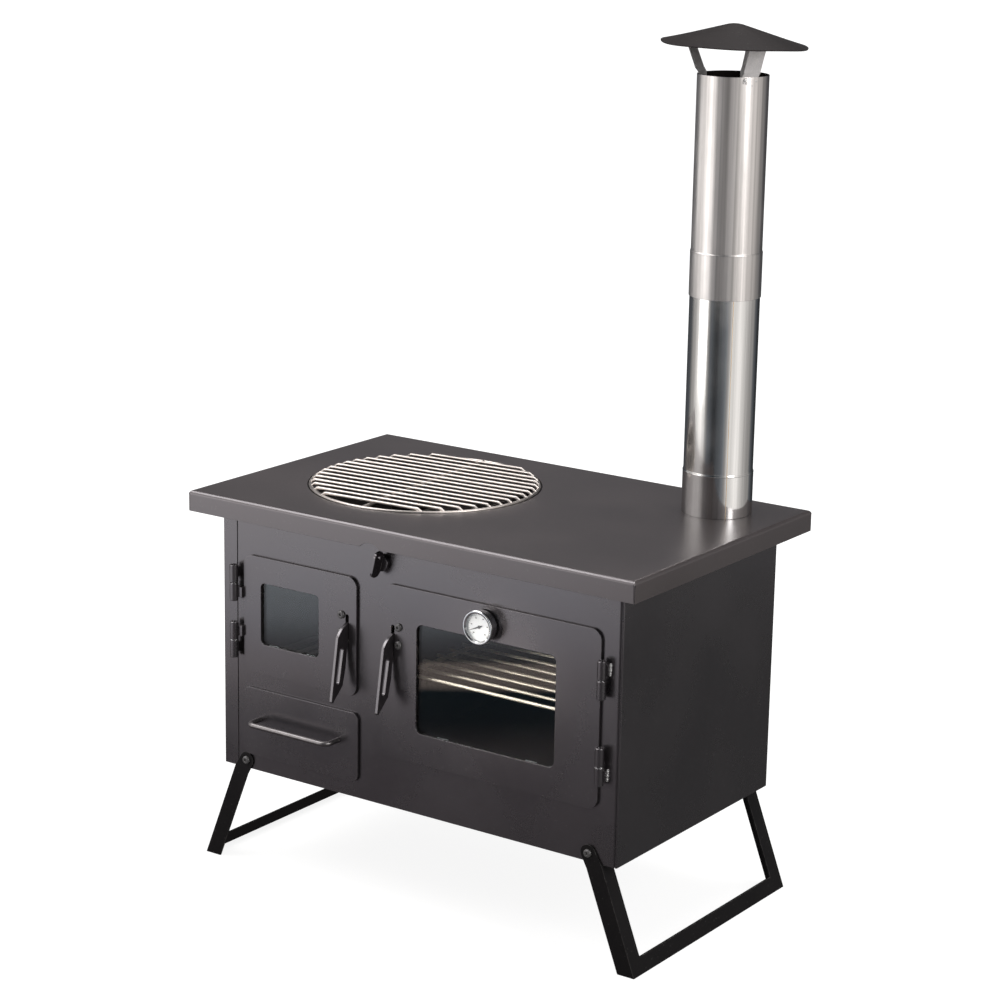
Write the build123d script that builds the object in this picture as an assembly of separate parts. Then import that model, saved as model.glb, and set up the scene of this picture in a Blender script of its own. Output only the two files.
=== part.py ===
from build123d import *
import math
import os

# Wood stove with a firebox on the left, an oven on the right, folding legs and a two piece flue.
# Millimetres. Z = 0 is the ground, X = 0 and Y = 0 the middle of the cooktop, and the doors face -Y.

# Cooktop
top_w = 600.0
top_d = 370.0
top_h = 445.0
lip_h = 24.0
sheet = 2.0
top_bend = 4.5
lip_seam = 0.8
notch_r = 18.6
notch_rise = 5.8

# Cabinet
cab_w = 543.0
cab_d = 318.0
cab_bottom = 118.0
side_flange = 21.0
seam_gap = 1.0
fold_r = 3.0
return_flange = 15.0
weld_gap = 0.1

# Doors: an overlay plate that covers its opening by the lap
plate = 3.0
door_gap = 0.5
lap = 9.0
latch_lap = 6.5
door_r = 12.5
fire_door_x = (-238.0, -75.5)
fire_door_z = (237.0, 376.0)
fire_window_x = (-213.0, -129.0)
fire_window_z = (273.0, 346.0)
fire_window_r = 6.0
oven_door_x = (-38.0, 247.0)
oven_door_z = (179.0, 378.0)
oven_window_x = (7.5, 191.0)
oven_window_z = (213.5, 339.0)
oven_window_r = 8.0
opening_r = 6.0

# Window glass, held from behind by clips on welded studs
glass_t = 4.0
glass_lap = 6.5
clip_t = 1.5
clip_w = 14.0
clip_foot = 9.0
clip_finger = 6.0
clip_gap = 0.3
stud_d = 4.0
stud_fit = 0.1
nut_af = 7.0
nut_h = 3.2
clip_inset = 0.18

# Hinges: a fixed and a hung knuckle on one pin
knuckle_r = 5.0
knuckle_len = 20.8
knuckle_split = 0.8
hinge_pin_r = 3.0
running_fit = 0.05
washer_t = 0.7
weld_lug_h = 12.0
weld_lug_t = 5.0
fire_hinge_arm = 10.3
oven_hinge_arm = 4.6
fire_hinge_z = (341.5, 274.0)
oven_hinge_z = (326.0, 230.5)

# Latches: a flat handle through a slot in the door
latch_t = 3.5
latch_slot_w = 4.5
latch_slot_z = (301.5, 332.0)
fire_latch_x = -88.5
oven_latch_x = -24.8
latch_pivot_in = 7.5
latch_pivot_z = 317.0
latch_nose_up = 4.0
latch_pin_r = 2.5
latch_pin_head_r = 3.5
latch_pin_head_t = 1.5
latch_side_gap = 0.4
latch_screw_x = 8.0
latch_screw_z = (330.7, 310.2)
bracket_t = 2.0
bracket_foot = 12.5
ear_r = 6.0
keeper_r = 3.0
keeper_in = 11.0
keeper_gap = 0.3
keeper_reach = 4.5

# Button head screws
screw_r = 2.5
screw_head_r = 4.75
screw_head_h = 2.8
screw_hex = 3.0
screw_fit = 0.1

# Ash drawer
ash_x = (-238.0, -73.0)
ash_z = (137.5, 218.5)
ash_r = 8.0
tray_wall = 1.5
tray_gap = 3.0
tray_floor_gap = 1.5
tray_h = 50.0
tray_len = 284.0
handle_d = 6.0
handle_x = (-215.4, -101.3)
handle_z = 182.0
handle_out = 21.0
handle_bend = 8.0
rail_t = 1.5
rail_w = 14.0
rail_gap = 0.3

# Firebox
partition_x = -46.0
liner_in = 7.5
liner_depth = 307.0
grate_z = 228.0
grate_t = 8.0
grate_edge = 8.0
grate_slot = 8.0
grate_pitch = 16.0
ledge_w = 16.0

# Oven
oven_side_in = 31.5
oven_depth = 299.0
oven_step = 2.0
rack_z = 273.5
rack_front = -144.0
rack_pitch = 24.8
rack_rods = 12
rack_rod_d = 4.0
rack_frame_d = 5.0
rack_side_gap = 3.0
wire_sink = 0.2

# Damper
damper_x = -41.0
damper_z = 400.0
damper_shaft_r = 4.0
flap_w = 240.0
flap_h = 50.0
flap_t = 2.0
flap_gap = 1.5
bearing_y = 138.0
knob_r = 9.5
knob_t = 5.0
wing_t = 3.0
wing_h = 31.0
wing_d = 15.0
wing_lean = 13.0

# Pot hole and its loose wire grate
pot_x = -109.0
pot_y = 8.0
pot_r = 135.5
pot_ledge = 11.0
grill_ring_r = 131.6
grill_wire_d = 4.0
grill_rods = 16
grill_pitch = 15.1
grill_turn = 4.2
grill_end_in = 1.5

# Folding legs
leg_pivot_x = 236.4
leg_pivot_up = 10.2
leg_splay = 21.0
leg_sheet = 2.0
leg_gap = 0.3
leg_in = 7.5
leg_ear_r = 9.5
leg_post_w = 21.0
leg_bar_h = 18.0

# Flue
flue_x = 217.8
flue_y = 113.8
collar_r = 38.5
collar_wall = 1.5
collar_up = 45.0
collar_flange = 12.0
pipe_wall = 0.8
pipe_fit = 0.15
lower_body_r = 38.75
lower_socket_h = 50.0
lower_len = 293.0
upper_socket_h = 49.0
upper_body_r = 39.0
upper_top = 485.0
shoulder_h = 2.0

# Rain cap
cap_r = 79.2
cap_base = 517.3
cap_rise = 23.0
cap_nose_r = 10.0
cap_t = 1.0
cap_tilt = 1.7
cap_tilt_to = 34.8
strap_angles = (-30.0, 93.0, 186.0)
strap_w = 20.0
strap_t = 1.0
strap_foot = 12.0
strap_lean = 23.0
strap_foot_gap = 0.3
strap_blend = 5.0

# Thermometer
gauge_x = 99.0
gauge_z = 356.0
gauge_bezel_r = 19.0
gauge_case_r = 17.0
gauge_case_h = 9.0
gauge_bezel_h = 4.0
gauge_wall = 1.0
gauge_neck_r = 6.5
gauge_neck_h = 2.5
gauge_shank_r = 4.5
gauge_shank_in = 9.0
gauge_stem_r = 3.0
gauge_stem_in = 48.0
gauge_dial_back = 5.5
gauge_dial_t = 0.6
gauge_lens_t = 1.5
gauge_lens_back = 1.2
gauge_hub_r = 1.8
gauge_needle_t = 0.5
gauge_needle_len = 12.5
gauge_spindle_r = 0.8
gauge_needle_angle = 203.0
gauge_nut_af = 14.0
gauge_nut_h = 5.0

# Places worked out from the sizes above
front = -cab_d / 2
back = cab_d / 2
inner_front = front + sheet
inner_back = back - sheet
side = cab_w / 2
side_in = side - sheet
under_top = top_h - sheet
panel_left = -side + side_flange + seam_gap
door_back = front - door_gap
door_front = door_back - plate
hinge_y = door_front - knuckle_r
fire_axis = fire_door_x[0] - fire_hinge_arm
oven_axis = oven_door_x[1] + oven_hinge_arm
fire_open_x = (fire_door_x[0] + lap, fire_door_x[1] - latch_lap)
fire_open_z = (fire_door_z[0] + lap, fire_door_z[1] - lap)
oven_open_x = (oven_door_x[0] + latch_lap, oven_door_x[1] - lap)
oven_open_z = (oven_door_z[0] + lap, oven_door_z[1] - lap)
ash_open_x = (ash_x[0] + lap, ash_x[1] - lap)
ash_open_z = (ash_z[0] + lap, ash_z[1] - lap)
latch_pivot_y = door_back + latch_pivot_in
leg_pivot_z = cab_bottom + leg_pivot_up
leg_out = leg_pivot_up + leg_gap + leg_sheet


def box(x, y, z):
    """A block between two bounds on each axis."""
    size = [high - low for low, high in (x, y, z)]
    middle = [(high + low) / 2 for low, high in (x, y, z)]
    return Pos(*middle) * Box(*size)


def upright(x, z, y, corner):
    """A plate that faces -Y, with rounded corners."""
    outline = RectangleRounded(x[1] - x[0], z[1] - z[0], corner)
    middle = Pos((x[0] + x[1]) / 2, (y[0] + y[1]) / 2, (z[0] + z[1]) / 2)
    return middle * Rot(90, 0, 0) * extrude(outline, (y[1] - y[0]) / 2, both=True)


def along_y(radius, x, z, y):
    """A round bar or hole along Y."""
    return Pos(x, (y[0] + y[1]) / 2, z) * Rot(90, 0, 0) * Cylinder(radius, y[1] - y[0])


def along_x(radius, y, z, x):
    """A round bar or hole along X."""
    return Pos((x[0] + x[1]) / 2, y, z) * Rot(0, 90, 0) * Cylinder(radius, x[1] - x[0])


def along_z(radius, x, y, z):
    """A round bar or hole along Z."""
    return Pos(x, y, (z[0] + z[1]) / 2) * Cylinder(radius, z[1] - z[0])


def side_profile(face, x):
    """A face drawn in Y and Z, made solid between two values of X."""
    return Pos(x[0], 0, 0) * extrude(Plane.YZ * face, x[1] - x[0])


def save(name, *shapes):
    """One STEP file for a sub-part, which may be several separate solids."""
    solids = [solid for shape in shapes for solid in shape.solids()]
    whole = solids[0] if len(solids) == 1 else Compound(children=solids)
    export_step(whole, "parts/" + name + ".step")


def nut(flats, height, bore):
    """A hexagon nut along Z that stands on Z = 0."""
    return extrude(RegularPolygon(flats / 2, 6, major_radius=False) - Circle(bore), height)


def button_screw(length):
    """A button head screw: the head's seat is Z = 0 and the shank goes down."""
    head = Pos(0, 0, screw_head_h / 2) * Cylinder(screw_head_r, screw_head_h)
    head = fillet(head.edges().group_by(Axis.Z)[-1], screw_head_h * 0.7)
    socket = Pos(0, 0, screw_head_h * 0.4) * extrude(RegularPolygon(screw_hex / 2, 6, major_radius=False), screw_head_h)
    return head - socket + Pos(0, 0, -length / 2) * Cylinder(screw_r, length)


def on_door(shape, x, z, y):
    """Turns a piece made along Z so that its +Z points at -Y, with its origin at a point."""
    return Pos(x, y, z) * Rot(90, 0, 0) * shape


# Cabinet shell

def folded_plan(points, folds):
    """A bent sheet drawn in plan: the centre line is offset by half the sheet and the folds rounded."""
    line = FilletPolyline(*points, radius=folds)
    return trace(line, line_width=sheet)


def side_panel_left():
    bend = fold_r - sheet / 2
    inset = sheet / 2
    points = [
        (-side + side_flange, front + inset),
        (-side + inset, front + inset),
        (-side + inset, back),
    ]
    plan = folded_plan(points, bend)
    return Pos(0, 0, cab_bottom) * extrude(plan, under_top - cab_bottom)


def side_panel_right():
    panel = box((side_in, side), (front, back), (cab_bottom, under_top))
    corner = panel.edges().filter_by(Axis.Z).sort_by(Axis.Y)[:2].sort_by(Axis.X)[-1]
    return fillet(corner, sheet * 0.9)


def front_panel():
    bend = fold_r - sheet / 2
    inset = sheet / 2
    points = [
        (panel_left, front + inset),
        (side_in - weld_gap - inset, front + inset),
        (side_in - weld_gap - inset, front + return_flange),
    ]
    panel = Pos(0, 0, cab_bottom) * extrude(folded_plan(points, bend), under_top - cab_bottom)
    through = (front - 1, inner_front + 1)
    for x, z in ((fire_open_x, fire_open_z), (oven_open_x, oven_open_z), (ash_open_x, ash_open_z)):
        panel -= upright(x, z, through, opening_r)
    panel -= along_y(damper_shaft_r + running_fit, damper_x, damper_z, through)
    for x in (-leg_pivot_x, leg_pivot_x):
        panel -= along_y(screw_r + screw_fit, x, leg_pivot_z, through)
    return panel


def back_panel():
    bend = fold_r - sheet / 2
    inset = sheet / 2
    reach = side_in - weld_gap - inset
    points = [(-reach, back - return_flange), (-reach, back - inset), (reach, back - inset), (reach, back - return_flange)]
    panel = Pos(0, 0, cab_bottom) * extrude(folded_plan(points, bend), under_top - cab_bottom)
    for x in (-leg_pivot_x, leg_pivot_x):
        panel -= along_y(screw_r + screw_fit, x, leg_pivot_z, (inner_back - 1, back + 1))
    return panel


def bottom_panel():
    reach = side_in - weld_gap - sheet - weld_gap
    y = (inner_front + weld_gap, inner_back - weld_gap)
    tray = box((-reach, reach), y, (cab_bottom, cab_bottom + return_flange))
    tray = fillet(tray.edges().filter_by(Axis.Z), fold_r - sheet + weld_gap)
    tray -= box((-reach, reach), (y[0] + sheet, y[1] - sheet), (cab_bottom + sheet, cab_bottom + return_flange))
    for x in (-leg_pivot_x, leg_pivot_x):
        tray -= along_y(screw_r + screw_fit, x, leg_pivot_z, (front, back))
    return tray


def cooktop():
    body = box((-top_w / 2, top_w / 2), (-top_d / 2, top_d / 2), (top_h - lip_h, top_h))
    body = fillet(body.edges().group_by(Axis.Z)[-1], top_bend)
    hollow = box(
        (-top_w / 2 + sheet, top_w / 2 - sheet),
        (-top_d / 2 + sheet, top_d / 2 - sheet),
        (top_h - lip_h - 1, under_top),
    )
    hollow = fillet(hollow.edges().group_by(Axis.Z)[-1], top_bend - sheet)
    body -= hollow
    body -= along_z(pot_r, pot_x, pot_y, (under_top - 1, top_h + 1))
    body -= along_z(collar_r + weld_gap, flue_x, flue_y, (under_top - 1, top_h + 1))
    notch_z = top_h - lip_h + notch_rise - notch_r
    body -= along_y(notch_r, damper_x, notch_z, (-top_d / 2 - 1, -top_d / 2 + sheet + 1))
    seam = box((-lip_seam / 2, lip_seam / 2), (-2 * sheet, 2 * sheet), (top_h - lip_h - 1, top_h - top_bend))
    for sx in (-1, 1):
        for sy in (-1, 1):
            body -= Pos(sx * top_w / 2, sy * top_d / 2, 0) * Rot(0, 0, -45 * sx * sy) * seam
    return body


def pot_ledge_ring():
    z = (under_top - sheet, under_top)
    ring = along_z(pot_r + pot_ledge / 2, pot_x, pot_y, z)
    return ring - along_z(pot_r - pot_ledge, pot_x, pot_y, z)


# Firebox, grate and ash drawer

def centre_partition():
    x = (partition_x - sheet, partition_x)
    wall = box(x, (inner_front, inner_back), (cab_bottom + return_flange + weld_gap, under_top))
    half_w = flap_w / 2 + flap_gap
    half_h = flap_h / 2 + flap_gap
    wall -= box((x[0] - 1, x[1] + 1), (-half_w, half_w), (damper_z - half_h, damper_z + half_h))
    wall -= along_z(pot_r + pot_ledge / 2 + weld_gap, pot_x, pot_y, (under_top - sheet - weld_gap, top_h))
    hub = damper_shaft_r + sheet
    tab = box((partition_x, damper_x), (bearing_y - sheet, bearing_y), (damper_z - hub, damper_z + hub))
    tab += along_y(hub, damper_x, damper_z, (bearing_y - sheet, bearing_y))
    return wall + (tab - along_y(damper_shaft_r + running_fit, damper_x, damper_z, (bearing_y - 9, bearing_y + 9)))


def firebox_liner():
    z = (grate_z - sheet, under_top - plate)
    left = -side_in + liner_in
    far = inner_front + liner_depth
    wall = box((left - sheet, left), (inner_front, far), z)
    return wall + box((left - sheet, partition_x - sheet), (far - sheet, far), z)


def grate_ledges():
    """Two angle bars that carry the grate."""
    far = inner_front + liner_depth - sheet
    left = -side_in + liner_in
    right = partition_x - sheet
    bars = []
    for wall, inward in ((left, 1), (right, -1)):
        tip = wall + inward * ledge_w
        foot = wall + inward * sheet
        flat = box(sorted((wall, tip)), (inner_front, far), (grate_z - sheet, grate_z))
        web = box(sorted((wall, foot)), (inner_front, far), (grate_z - ledge_w, grate_z - sheet))
        bars.append(flat + web)
    return bars


def fire_grate():
    left = -side_in + liner_in + weld_gap * 10
    right = partition_x - sheet - weld_gap * 10
    y = (inner_front + weld_gap * 10, inner_front + liner_depth - sheet - weld_gap * 10)
    grate = box((left, right), y, (grate_z, grate_z + grate_t))
    middle = (left + right) / 2
    count = int((right - left - 2 * grate_edge) // grate_pitch)
    bridge = grate_edge / 2
    rows = ((y[0] + ledge_w, -bridge), (bridge, y[1] - ledge_w))
    for i in range(count):
        x = middle + (i - (count - 1) / 2) * grate_pitch
        for low, high in rows:
            slot = SlotOverall(high - low, grate_slot)
            cut = extrude(slot, grate_t * 2, both=True)
            grate -= Pos(x, (low + high) / 2, grate_z) * Rot(0, 0, 90) * cut
    return grate


tray_x = (ash_open_x[0] + tray_gap, ash_open_x[1] - tray_gap)
tray_z = ash_open_z[0] + tray_floor_gap
tray_end = door_back + tray_len


def ash_drawer_front():
    return upright(ash_x, ash_z, (door_front, door_back), ash_r)


def ash_drawer_tray():
    tray = box(tray_x, (door_back, tray_end), (tray_z, tray_z + tray_h))
    inside = box(
        (tray_x[0] + tray_wall, tray_x[1] - tray_wall),
        (door_back + tray_wall, tray_end - tray_wall),
        (tray_z + tray_wall, tray_z + tray_h + 1),
    )
    return tray - inside


def ash_drawer_handle():
    reach = door_front - handle_out
    points = [
        (handle_x[0], door_front, handle_z),
        (handle_x[0], reach, handle_z),
        (handle_x[1], reach, handle_z),
        (handle_x[1], door_front, handle_z),
    ]
    path = FilletPolyline(*points, radius=handle_bend)
    start = Plane(origin=points[0], z_dir=(0, -1, 0))
    return sweep(start * Circle(handle_d / 2), path=path)


def drawer_rails():
    """Two angle rails from the front panel to the back panel, under the tray's sides."""
    top = tray_z - rail_gap
    y = (inner_front, inner_back)
    rails = []
    for edge, inward in ((tray_x[0] - rail_gap * 2, 1), (tray_x[1] + rail_gap * 2, -1)):
        tip = edge + inward * rail_w
        outer = edge - inward * rail_t
        flat = box(sorted((outer, tip)), y, (top - rail_t, top))
        web = box(sorted((outer, edge)), y, (top, top + rail_w))
        rails.append(flat + web)
    return rails


# Oven

oven_x = (oven_open_x[0] - oven_step, oven_open_x[1] + oven_step)
oven_z = (oven_open_z[0] - oven_step, oven_open_z[1] + oven_step)
oven_back = inner_front + oven_depth


def oven_box():
    outer = box(
        (oven_x[0] - sheet, oven_x[1] + sheet),
        (inner_front, oven_back),
        (oven_z[0] - sheet, oven_z[1] + sheet),
    )
    return outer - box(oven_x, (inner_front - 1, oven_back - sheet), oven_z)


rack_frame_z = rack_z - (rack_rod_d + rack_frame_d) / 2 + wire_sink
rack_x = (oven_x[0] + rack_side_gap, oven_x[1] - rack_side_gap)
rack_back = rack_front + (rack_rods - 1) * rack_pitch


def oven_rack():
    """A wire rack: rods across, welded on two thicker bars."""
    rack = None
    for x in (rack_x[0] + rack_frame_d, rack_x[1] - rack_frame_d):
        bar = along_y(rack_frame_d / 2, x, rack_frame_z, (rack_front - rack_frame_d, rack_back + rack_frame_d))
        rack = bar if rack is None else rack + bar
    for i in range(rack_rods):
        rack += along_x(rack_rod_d / 2, rack_front + i * rack_pitch, rack_z, rack_x)
    return rack


def rack_rails():
    """Two angle rails on the oven's side walls."""
    top = rack_frame_z - rack_frame_d / 2 - rail_gap
    y = (inner_front + rail_w, oven_back - sheet)
    rails = []
    for wall, inward in ((oven_x[0], 1), (oven_x[1], -1)):
        tip = wall + inward * rail_w
        foot = wall + inward * rail_t
        flat = box(sorted((wall, tip)), y, (top - rail_t, top))
        web = box(sorted((wall, foot)), y, (top - rail_w, top - rail_t))
        rails.append(flat + web)
    return rails


# Damper

def damper_shaft():
    return along_y(damper_shaft_r, damper_x, damper_z, (front - knob_t, bearing_y + sheet))


def damper_flap():
    near = damper_x + damper_shaft_r
    y = (-flap_w / 2, flap_w / 2)
    return box((near, near + flap_t), y, (damper_z - flap_h / 2, damper_z + flap_h / 2))


def damper_knob():
    """A round boss and a wing that leans a little, on the end of the shaft."""
    boss = along_y(knob_r, damper_x, damper_z, (front - door_gap - knob_t, front - door_gap))
    boss = fillet(boss.edges().group_by(Axis.Y)[0], knob_t / 5)
    wing_y = front - door_gap - knob_t
    outline = RectangleRounded(wing_d, wing_h, wing_d * 0.45) - Pos(0, wing_h / 2 - wing_d / 2) * Circle(wing_t * 0.8)
    wing = side_profile(Pos(wing_y - wing_d / 2 + 1, damper_z) * outline, (damper_x - wing_t / 2, damper_x + wing_t / 2))
    knob = boss + wing.rotate(Axis((damper_x, 0, damper_z), (0, 1, 0)), wing_lean)
    return knob - along_y(damper_shaft_r + weld_gap / 10, damper_x, damper_z, (front - knob_t - weld_gap / 10, front))


# Doors

def clip_places(window_x, window_z):
    """Four clip centres, on the top and bottom edges of a window: x, z of the glass edge, and which way is out."""
    width = window_x[1] - window_x[0]
    inset = width * clip_inset
    places = []
    for x in (window_x[0] + inset, window_x[1] - inset):
        places.append((x, window_z[0] - glass_lap, -1))
        places.append((x, window_z[1] + glass_lap, 1))
    return places


def stud_place(edge, out):
    return edge + out * (clip_gap + clip_t + clip_foot / 2)


def door_plate(door_x, door_z, window_x, window_z, window_r, latch_x, screw_side):
    """A door with its window, latch slot, screw holes and the welded studs for the glass clips."""
    through = (door_front - 1, door_back + 1)
    door = upright(door_x, door_z, (door_front, door_back), door_r)
    door -= upright(window_x, window_z, through, window_r)
    slot_x = (latch_x - latch_slot_w / 2, latch_x + latch_slot_w / 2)
    door -= upright(slot_x, latch_slot_z, through, latch_slot_w * 0.45)
    for z in latch_screw_z:
        door -= along_y(screw_r + screw_fit, latch_x + screw_side * latch_screw_x, z, through)
    stud_end = door_back + clip_t + nut_h + 1
    for x, edge, out in clip_places(window_x, window_z):
        door += along_y(stud_d / 2, x, stud_place(edge, out), (door_back - plate / 2, stud_end))
    return door


def glass_pane(window_x, window_z):
    x = (window_x[0] - glass_lap, window_x[1] + glass_lap)
    z = (window_z[0] - glass_lap, window_z[1] + glass_lap)
    return upright(x, z, (door_back, door_back + glass_t), glass_t / 2)


def glass_clips(window_x, window_z):
    """Stepped clips: a foot on the door, a rise past the glass edge and a finger behind the glass."""
    clips = []
    glass_back = door_back + glass_t
    for x, edge, out in clip_places(window_x, window_z):
        span = (x - clip_w / 2, x + clip_w / 2)
        rise = edge + out * clip_gap
        rise_far = rise + out * clip_t
        foot_far = rise_far + out * clip_foot
        finger = edge - out * clip_finger
        clip = box(span, (door_back, door_back + clip_t), sorted((rise, foot_far)))
        clip += box(span, (door_back, glass_back + clip_t), sorted((rise, rise_far)))
        clip += box(span, (glass_back, glass_back + clip_t), sorted((finger, rise_far)))
        clip -= along_y(stud_d / 2 + stud_fit, x, stud_place(edge, out), (door_back - 1, door_back + clip_t + 1))
        clips.append(clip)
    return clips


def glass_nuts(window_x, window_z):
    nuts = []
    for x, edge, out in clip_places(window_x, window_z):
        shape = nut(nut_af, nut_h, stud_d / 2 + stud_fit)
        nuts.append(Pos(x, door_back + clip_t, stud_place(edge, out)) * Rot(-90, 0, 0) * shape)
    return nuts


def knuckle(x, z_low, lug, lug_y):
    """A round hinge knuckle with its weld lug, bored for the pin."""
    z = (z_low, z_low + knuckle_len)
    barrel = along_z(knuckle_r, x, hinge_y, z)
    barrel = chamfer(barrel.edges().filter_by(GeomType.CIRCLE), knuckle_r / 8)
    middle = (z[0] + z[1]) / 2
    barrel += box(sorted((x, lug)), lug_y, (middle - weld_lug_h / 2, middle + weld_lug_h / 2))
    return barrel - along_z(hinge_pin_r + running_fit, x, hinge_y, (z[0] - 1, z[1] + 1))


def door_knuckles(axis, edge, centres):
    """The hung knuckles: under the split of the upper hinge, over the split of the lower one."""
    lug_y = (hinge_y + knuckle_r / 4, door_back - door_gap)
    upper, lower = centres
    return [
        knuckle(axis, upper - knuckle_split / 2 - knuckle_len, edge, lug_y),
        knuckle(axis, lower + knuckle_split / 2, edge, lug_y),
    ]


def frame_knuckles(axis, away, centres):
    """The fixed knuckles, welded to the front panel."""
    lug_y = (hinge_y, front)
    lug = axis + away * weld_lug_t
    upper, lower = centres
    return [
        knuckle(axis, upper + knuckle_split / 2, lug, lug_y),
        knuckle(axis, lower - knuckle_split / 2 - knuckle_len, lug, lug_y),
    ]


def hinge_pins(axis, centres):
    reach = knuckle_len - knuckle_r / 4
    return [along_z(hinge_pin_r, axis, hinge_y, (z - reach, z + reach)) for z in centres]


def hinge_washer(axis, centres):
    """The bright ring that the door stands on, in the split of the lower hinge."""
    low = centres[1] - knuckle_split / 2
    ring = along_z(knuckle_r, axis, hinge_y, (low, low + washer_t))
    return ring - along_z(hinge_pin_r + running_fit, axis, hinge_y, (low - 1, low + 1))


# Latches, drawn in Y and Z from the pivot: first number inward from the door, second up

def latch_point(inward, up):
    return (latch_pivot_y + inward, latch_pivot_z + up)


def latch_handle(x):
    slot_top = latch_point(-10.5, 5.7)
    crown = latch_point(-19.8, 1.4)
    shoulder = latch_point(-28.5, -8.0)
    grip_end = latch_point(-39.7, -79.5)
    tip = latch_point(-37.8, -82.0)
    grip_corner = latch_point(-20.2, -65.5)
    grip_inner = latch_point(-14.9, -46.0)
    grip_neck = latch_point(-13.0, -29.0)
    grip_root = latch_point(-11.2, -14.0)
    heel = latch_point(-5.0, -10.0)
    nose_under = latch_point(8.0, -8.0)
    nose = latch_point(15.0, 0.5)
    nose_top = latch_point(keeper_in, latch_nose_up)
    neck = latch_point(1.0, 6.8)
    outline = Polyline(slot_top, neck, nose_top, nose, nose_under, heel, grip_root)
    outline += Polyline(grip_root, grip_neck, grip_inner, grip_corner, tip, grip_end, shoulder)
    outline += ThreePointArc(shoulder, crown, slot_top)
    window_top = latch_point(-22.0, -24.0)
    window_end = latch_point(-28.6, -58.0)
    window = SlotCenterToCenter(math.dist(window_top, window_end), 6.3)
    lean = math.degrees(math.atan2(window_top[1] - window_end[1], window_top[0] - window_end[0]))
    middle = [(a + b) / 2 for a, b in zip(window_top, window_end)]
    face = make_face(outline) - Pos(*middle) * Rot(0, 0, lean) * window
    face -= Pos(latch_pivot_y, latch_pivot_z) * Circle(latch_pin_r + running_fit)
    return side_profile(face, (x - latch_t / 2, x + latch_t / 2))


def latch_bracket(x, screw_side):
    """An angle behind the door: a foot under the two screws and an ear that carries the pivot pin."""
    ear_x = sorted(x + screw_side * (latch_t / 2 + latch_side_gap + t) for t in (0, bracket_t))
    foot_x = sorted((ear_x[0] if screw_side > 0 else ear_x[1], x + screw_side * bracket_foot))
    foot_z = (latch_slot_z[0] + 2, latch_slot_z[1] + 2)
    bracket = box(foot_x, (door_back, door_back + bracket_t), foot_z)
    ear = Pos(latch_pivot_y, latch_pivot_z) * Circle(ear_r)
    ear += make_face(Polyline(
        (door_back, latch_pivot_z - ear_r * 1.5),
        (latch_pivot_y, latch_pivot_z - ear_r),
        (latch_pivot_y, latch_pivot_z + ear_r),
        (door_back, latch_pivot_z + ear_r * 1.5),
        close=True,
    ))
    ear -= Pos(latch_pivot_y, latch_pivot_z) * Circle(latch_pin_r)
    bracket += side_profile(ear, ear_x)
    for z in latch_screw_z:
        bracket -= along_y(screw_r, x + screw_side * latch_screw_x, z, (door_back - 1, door_back + bracket_t + 1))
    return bracket


def latch_pin(x, screw_side):
    far = x + screw_side * (latch_t / 2 + latch_side_gap + bracket_t + 1)
    near = x - screw_side * (latch_t / 2 + latch_side_gap)
    head = near - screw_side * latch_pin_head_t
    pin = along_x(latch_pin_r, latch_pivot_y, latch_pivot_z, sorted((far, near)))
    return pin + along_x(latch_pin_head_r, latch_pivot_y, latch_pivot_z, sorted((near, head)))


def latch_screws(x, screw_side):
    length = plate + bracket_t
    place = x + screw_side * latch_screw_x
    return [on_door(button_screw(length), place, z, door_front) for z in latch_screw_z]


def latch_keeper(x, root, foot):
    """A bar over the latch's nose, from an oven wall or from a foot welded behind the front panel."""
    y = latch_pivot_y + keeper_in
    z = latch_pivot_z + latch_nose_up + keeper_gap + keeper_r
    tip = x + math.copysign(keeper_reach, x - root)
    keeper = along_x(keeper_r, y, z, sorted((root, tip)))
    if foot:
        foot_x = (root, root + bracket_t)
        keeper += box(foot_x, (inner_front, y), (z - keeper_r, z + keeper_r))
        keeper += along_x(keeper_r, y, z, foot_x)
    return keeper


# Thermometer in the oven door, turned about Y

def gauge_ring(profile):
    """Revolves a profile of radius and distance in front of the door."""
    solid = revolve(Plane.XZ * make_face(Polyline(*profile, close=True)), axis=Axis.Z)
    return on_door(solid, gauge_x, gauge_z, door_front)


gauge_depth = gauge_neck_h + gauge_case_h + gauge_bezel_h


def thermometer_case():
    lens_z = gauge_depth - gauge_lens_back
    seat_r = gauge_case_r - gauge_wall
    profile = [
        (0, -plate - gauge_stem_in),
        (gauge_stem_r, -plate - gauge_stem_in),
        (gauge_stem_r, -plate - gauge_shank_in),
        (gauge_shank_r, -plate - gauge_shank_in),
        (gauge_shank_r, 0),
        (gauge_neck_r, 0),
        (gauge_neck_r, gauge_neck_h),
        (gauge_case_r, gauge_neck_h),
        (gauge_case_r, gauge_depth - gauge_bezel_h),
        (gauge_bezel_r, gauge_depth - gauge_bezel_h + 0.6),
        (gauge_bezel_r, gauge_depth - 0.8),
        (gauge_bezel_r - 0.8, gauge_depth),
        (gauge_bezel_r - 1.8, gauge_depth),
        (seat_r - 0.8, lens_z),
        (seat_r - 0.8, lens_z - 0.01),
        (seat_r, lens_z - 0.01),
        (seat_r, gauge_neck_h + gauge_wall),
        (gauge_spindle_r + running_fit, gauge_neck_h + gauge_wall),
        (gauge_spindle_r + running_fit, 0.5),
        (0, 0.5),
    ]
    return gauge_ring(profile)


dial_z = gauge_depth - gauge_dial_back
dial_fit = 0.05


def thermometer_dial():
    outer = gauge_case_r - gauge_wall - dial_fit
    bore = gauge_spindle_r + running_fit
    back_z = gauge_neck_h + gauge_wall
    return gauge_ring([
        (bore, dial_z - gauge_dial_t),
        (outer - 1, dial_z - gauge_dial_t),
        (outer - 1, back_z),
        (outer, back_z),
        (outer, dial_z),
        (bore, dial_z),
    ])


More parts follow.
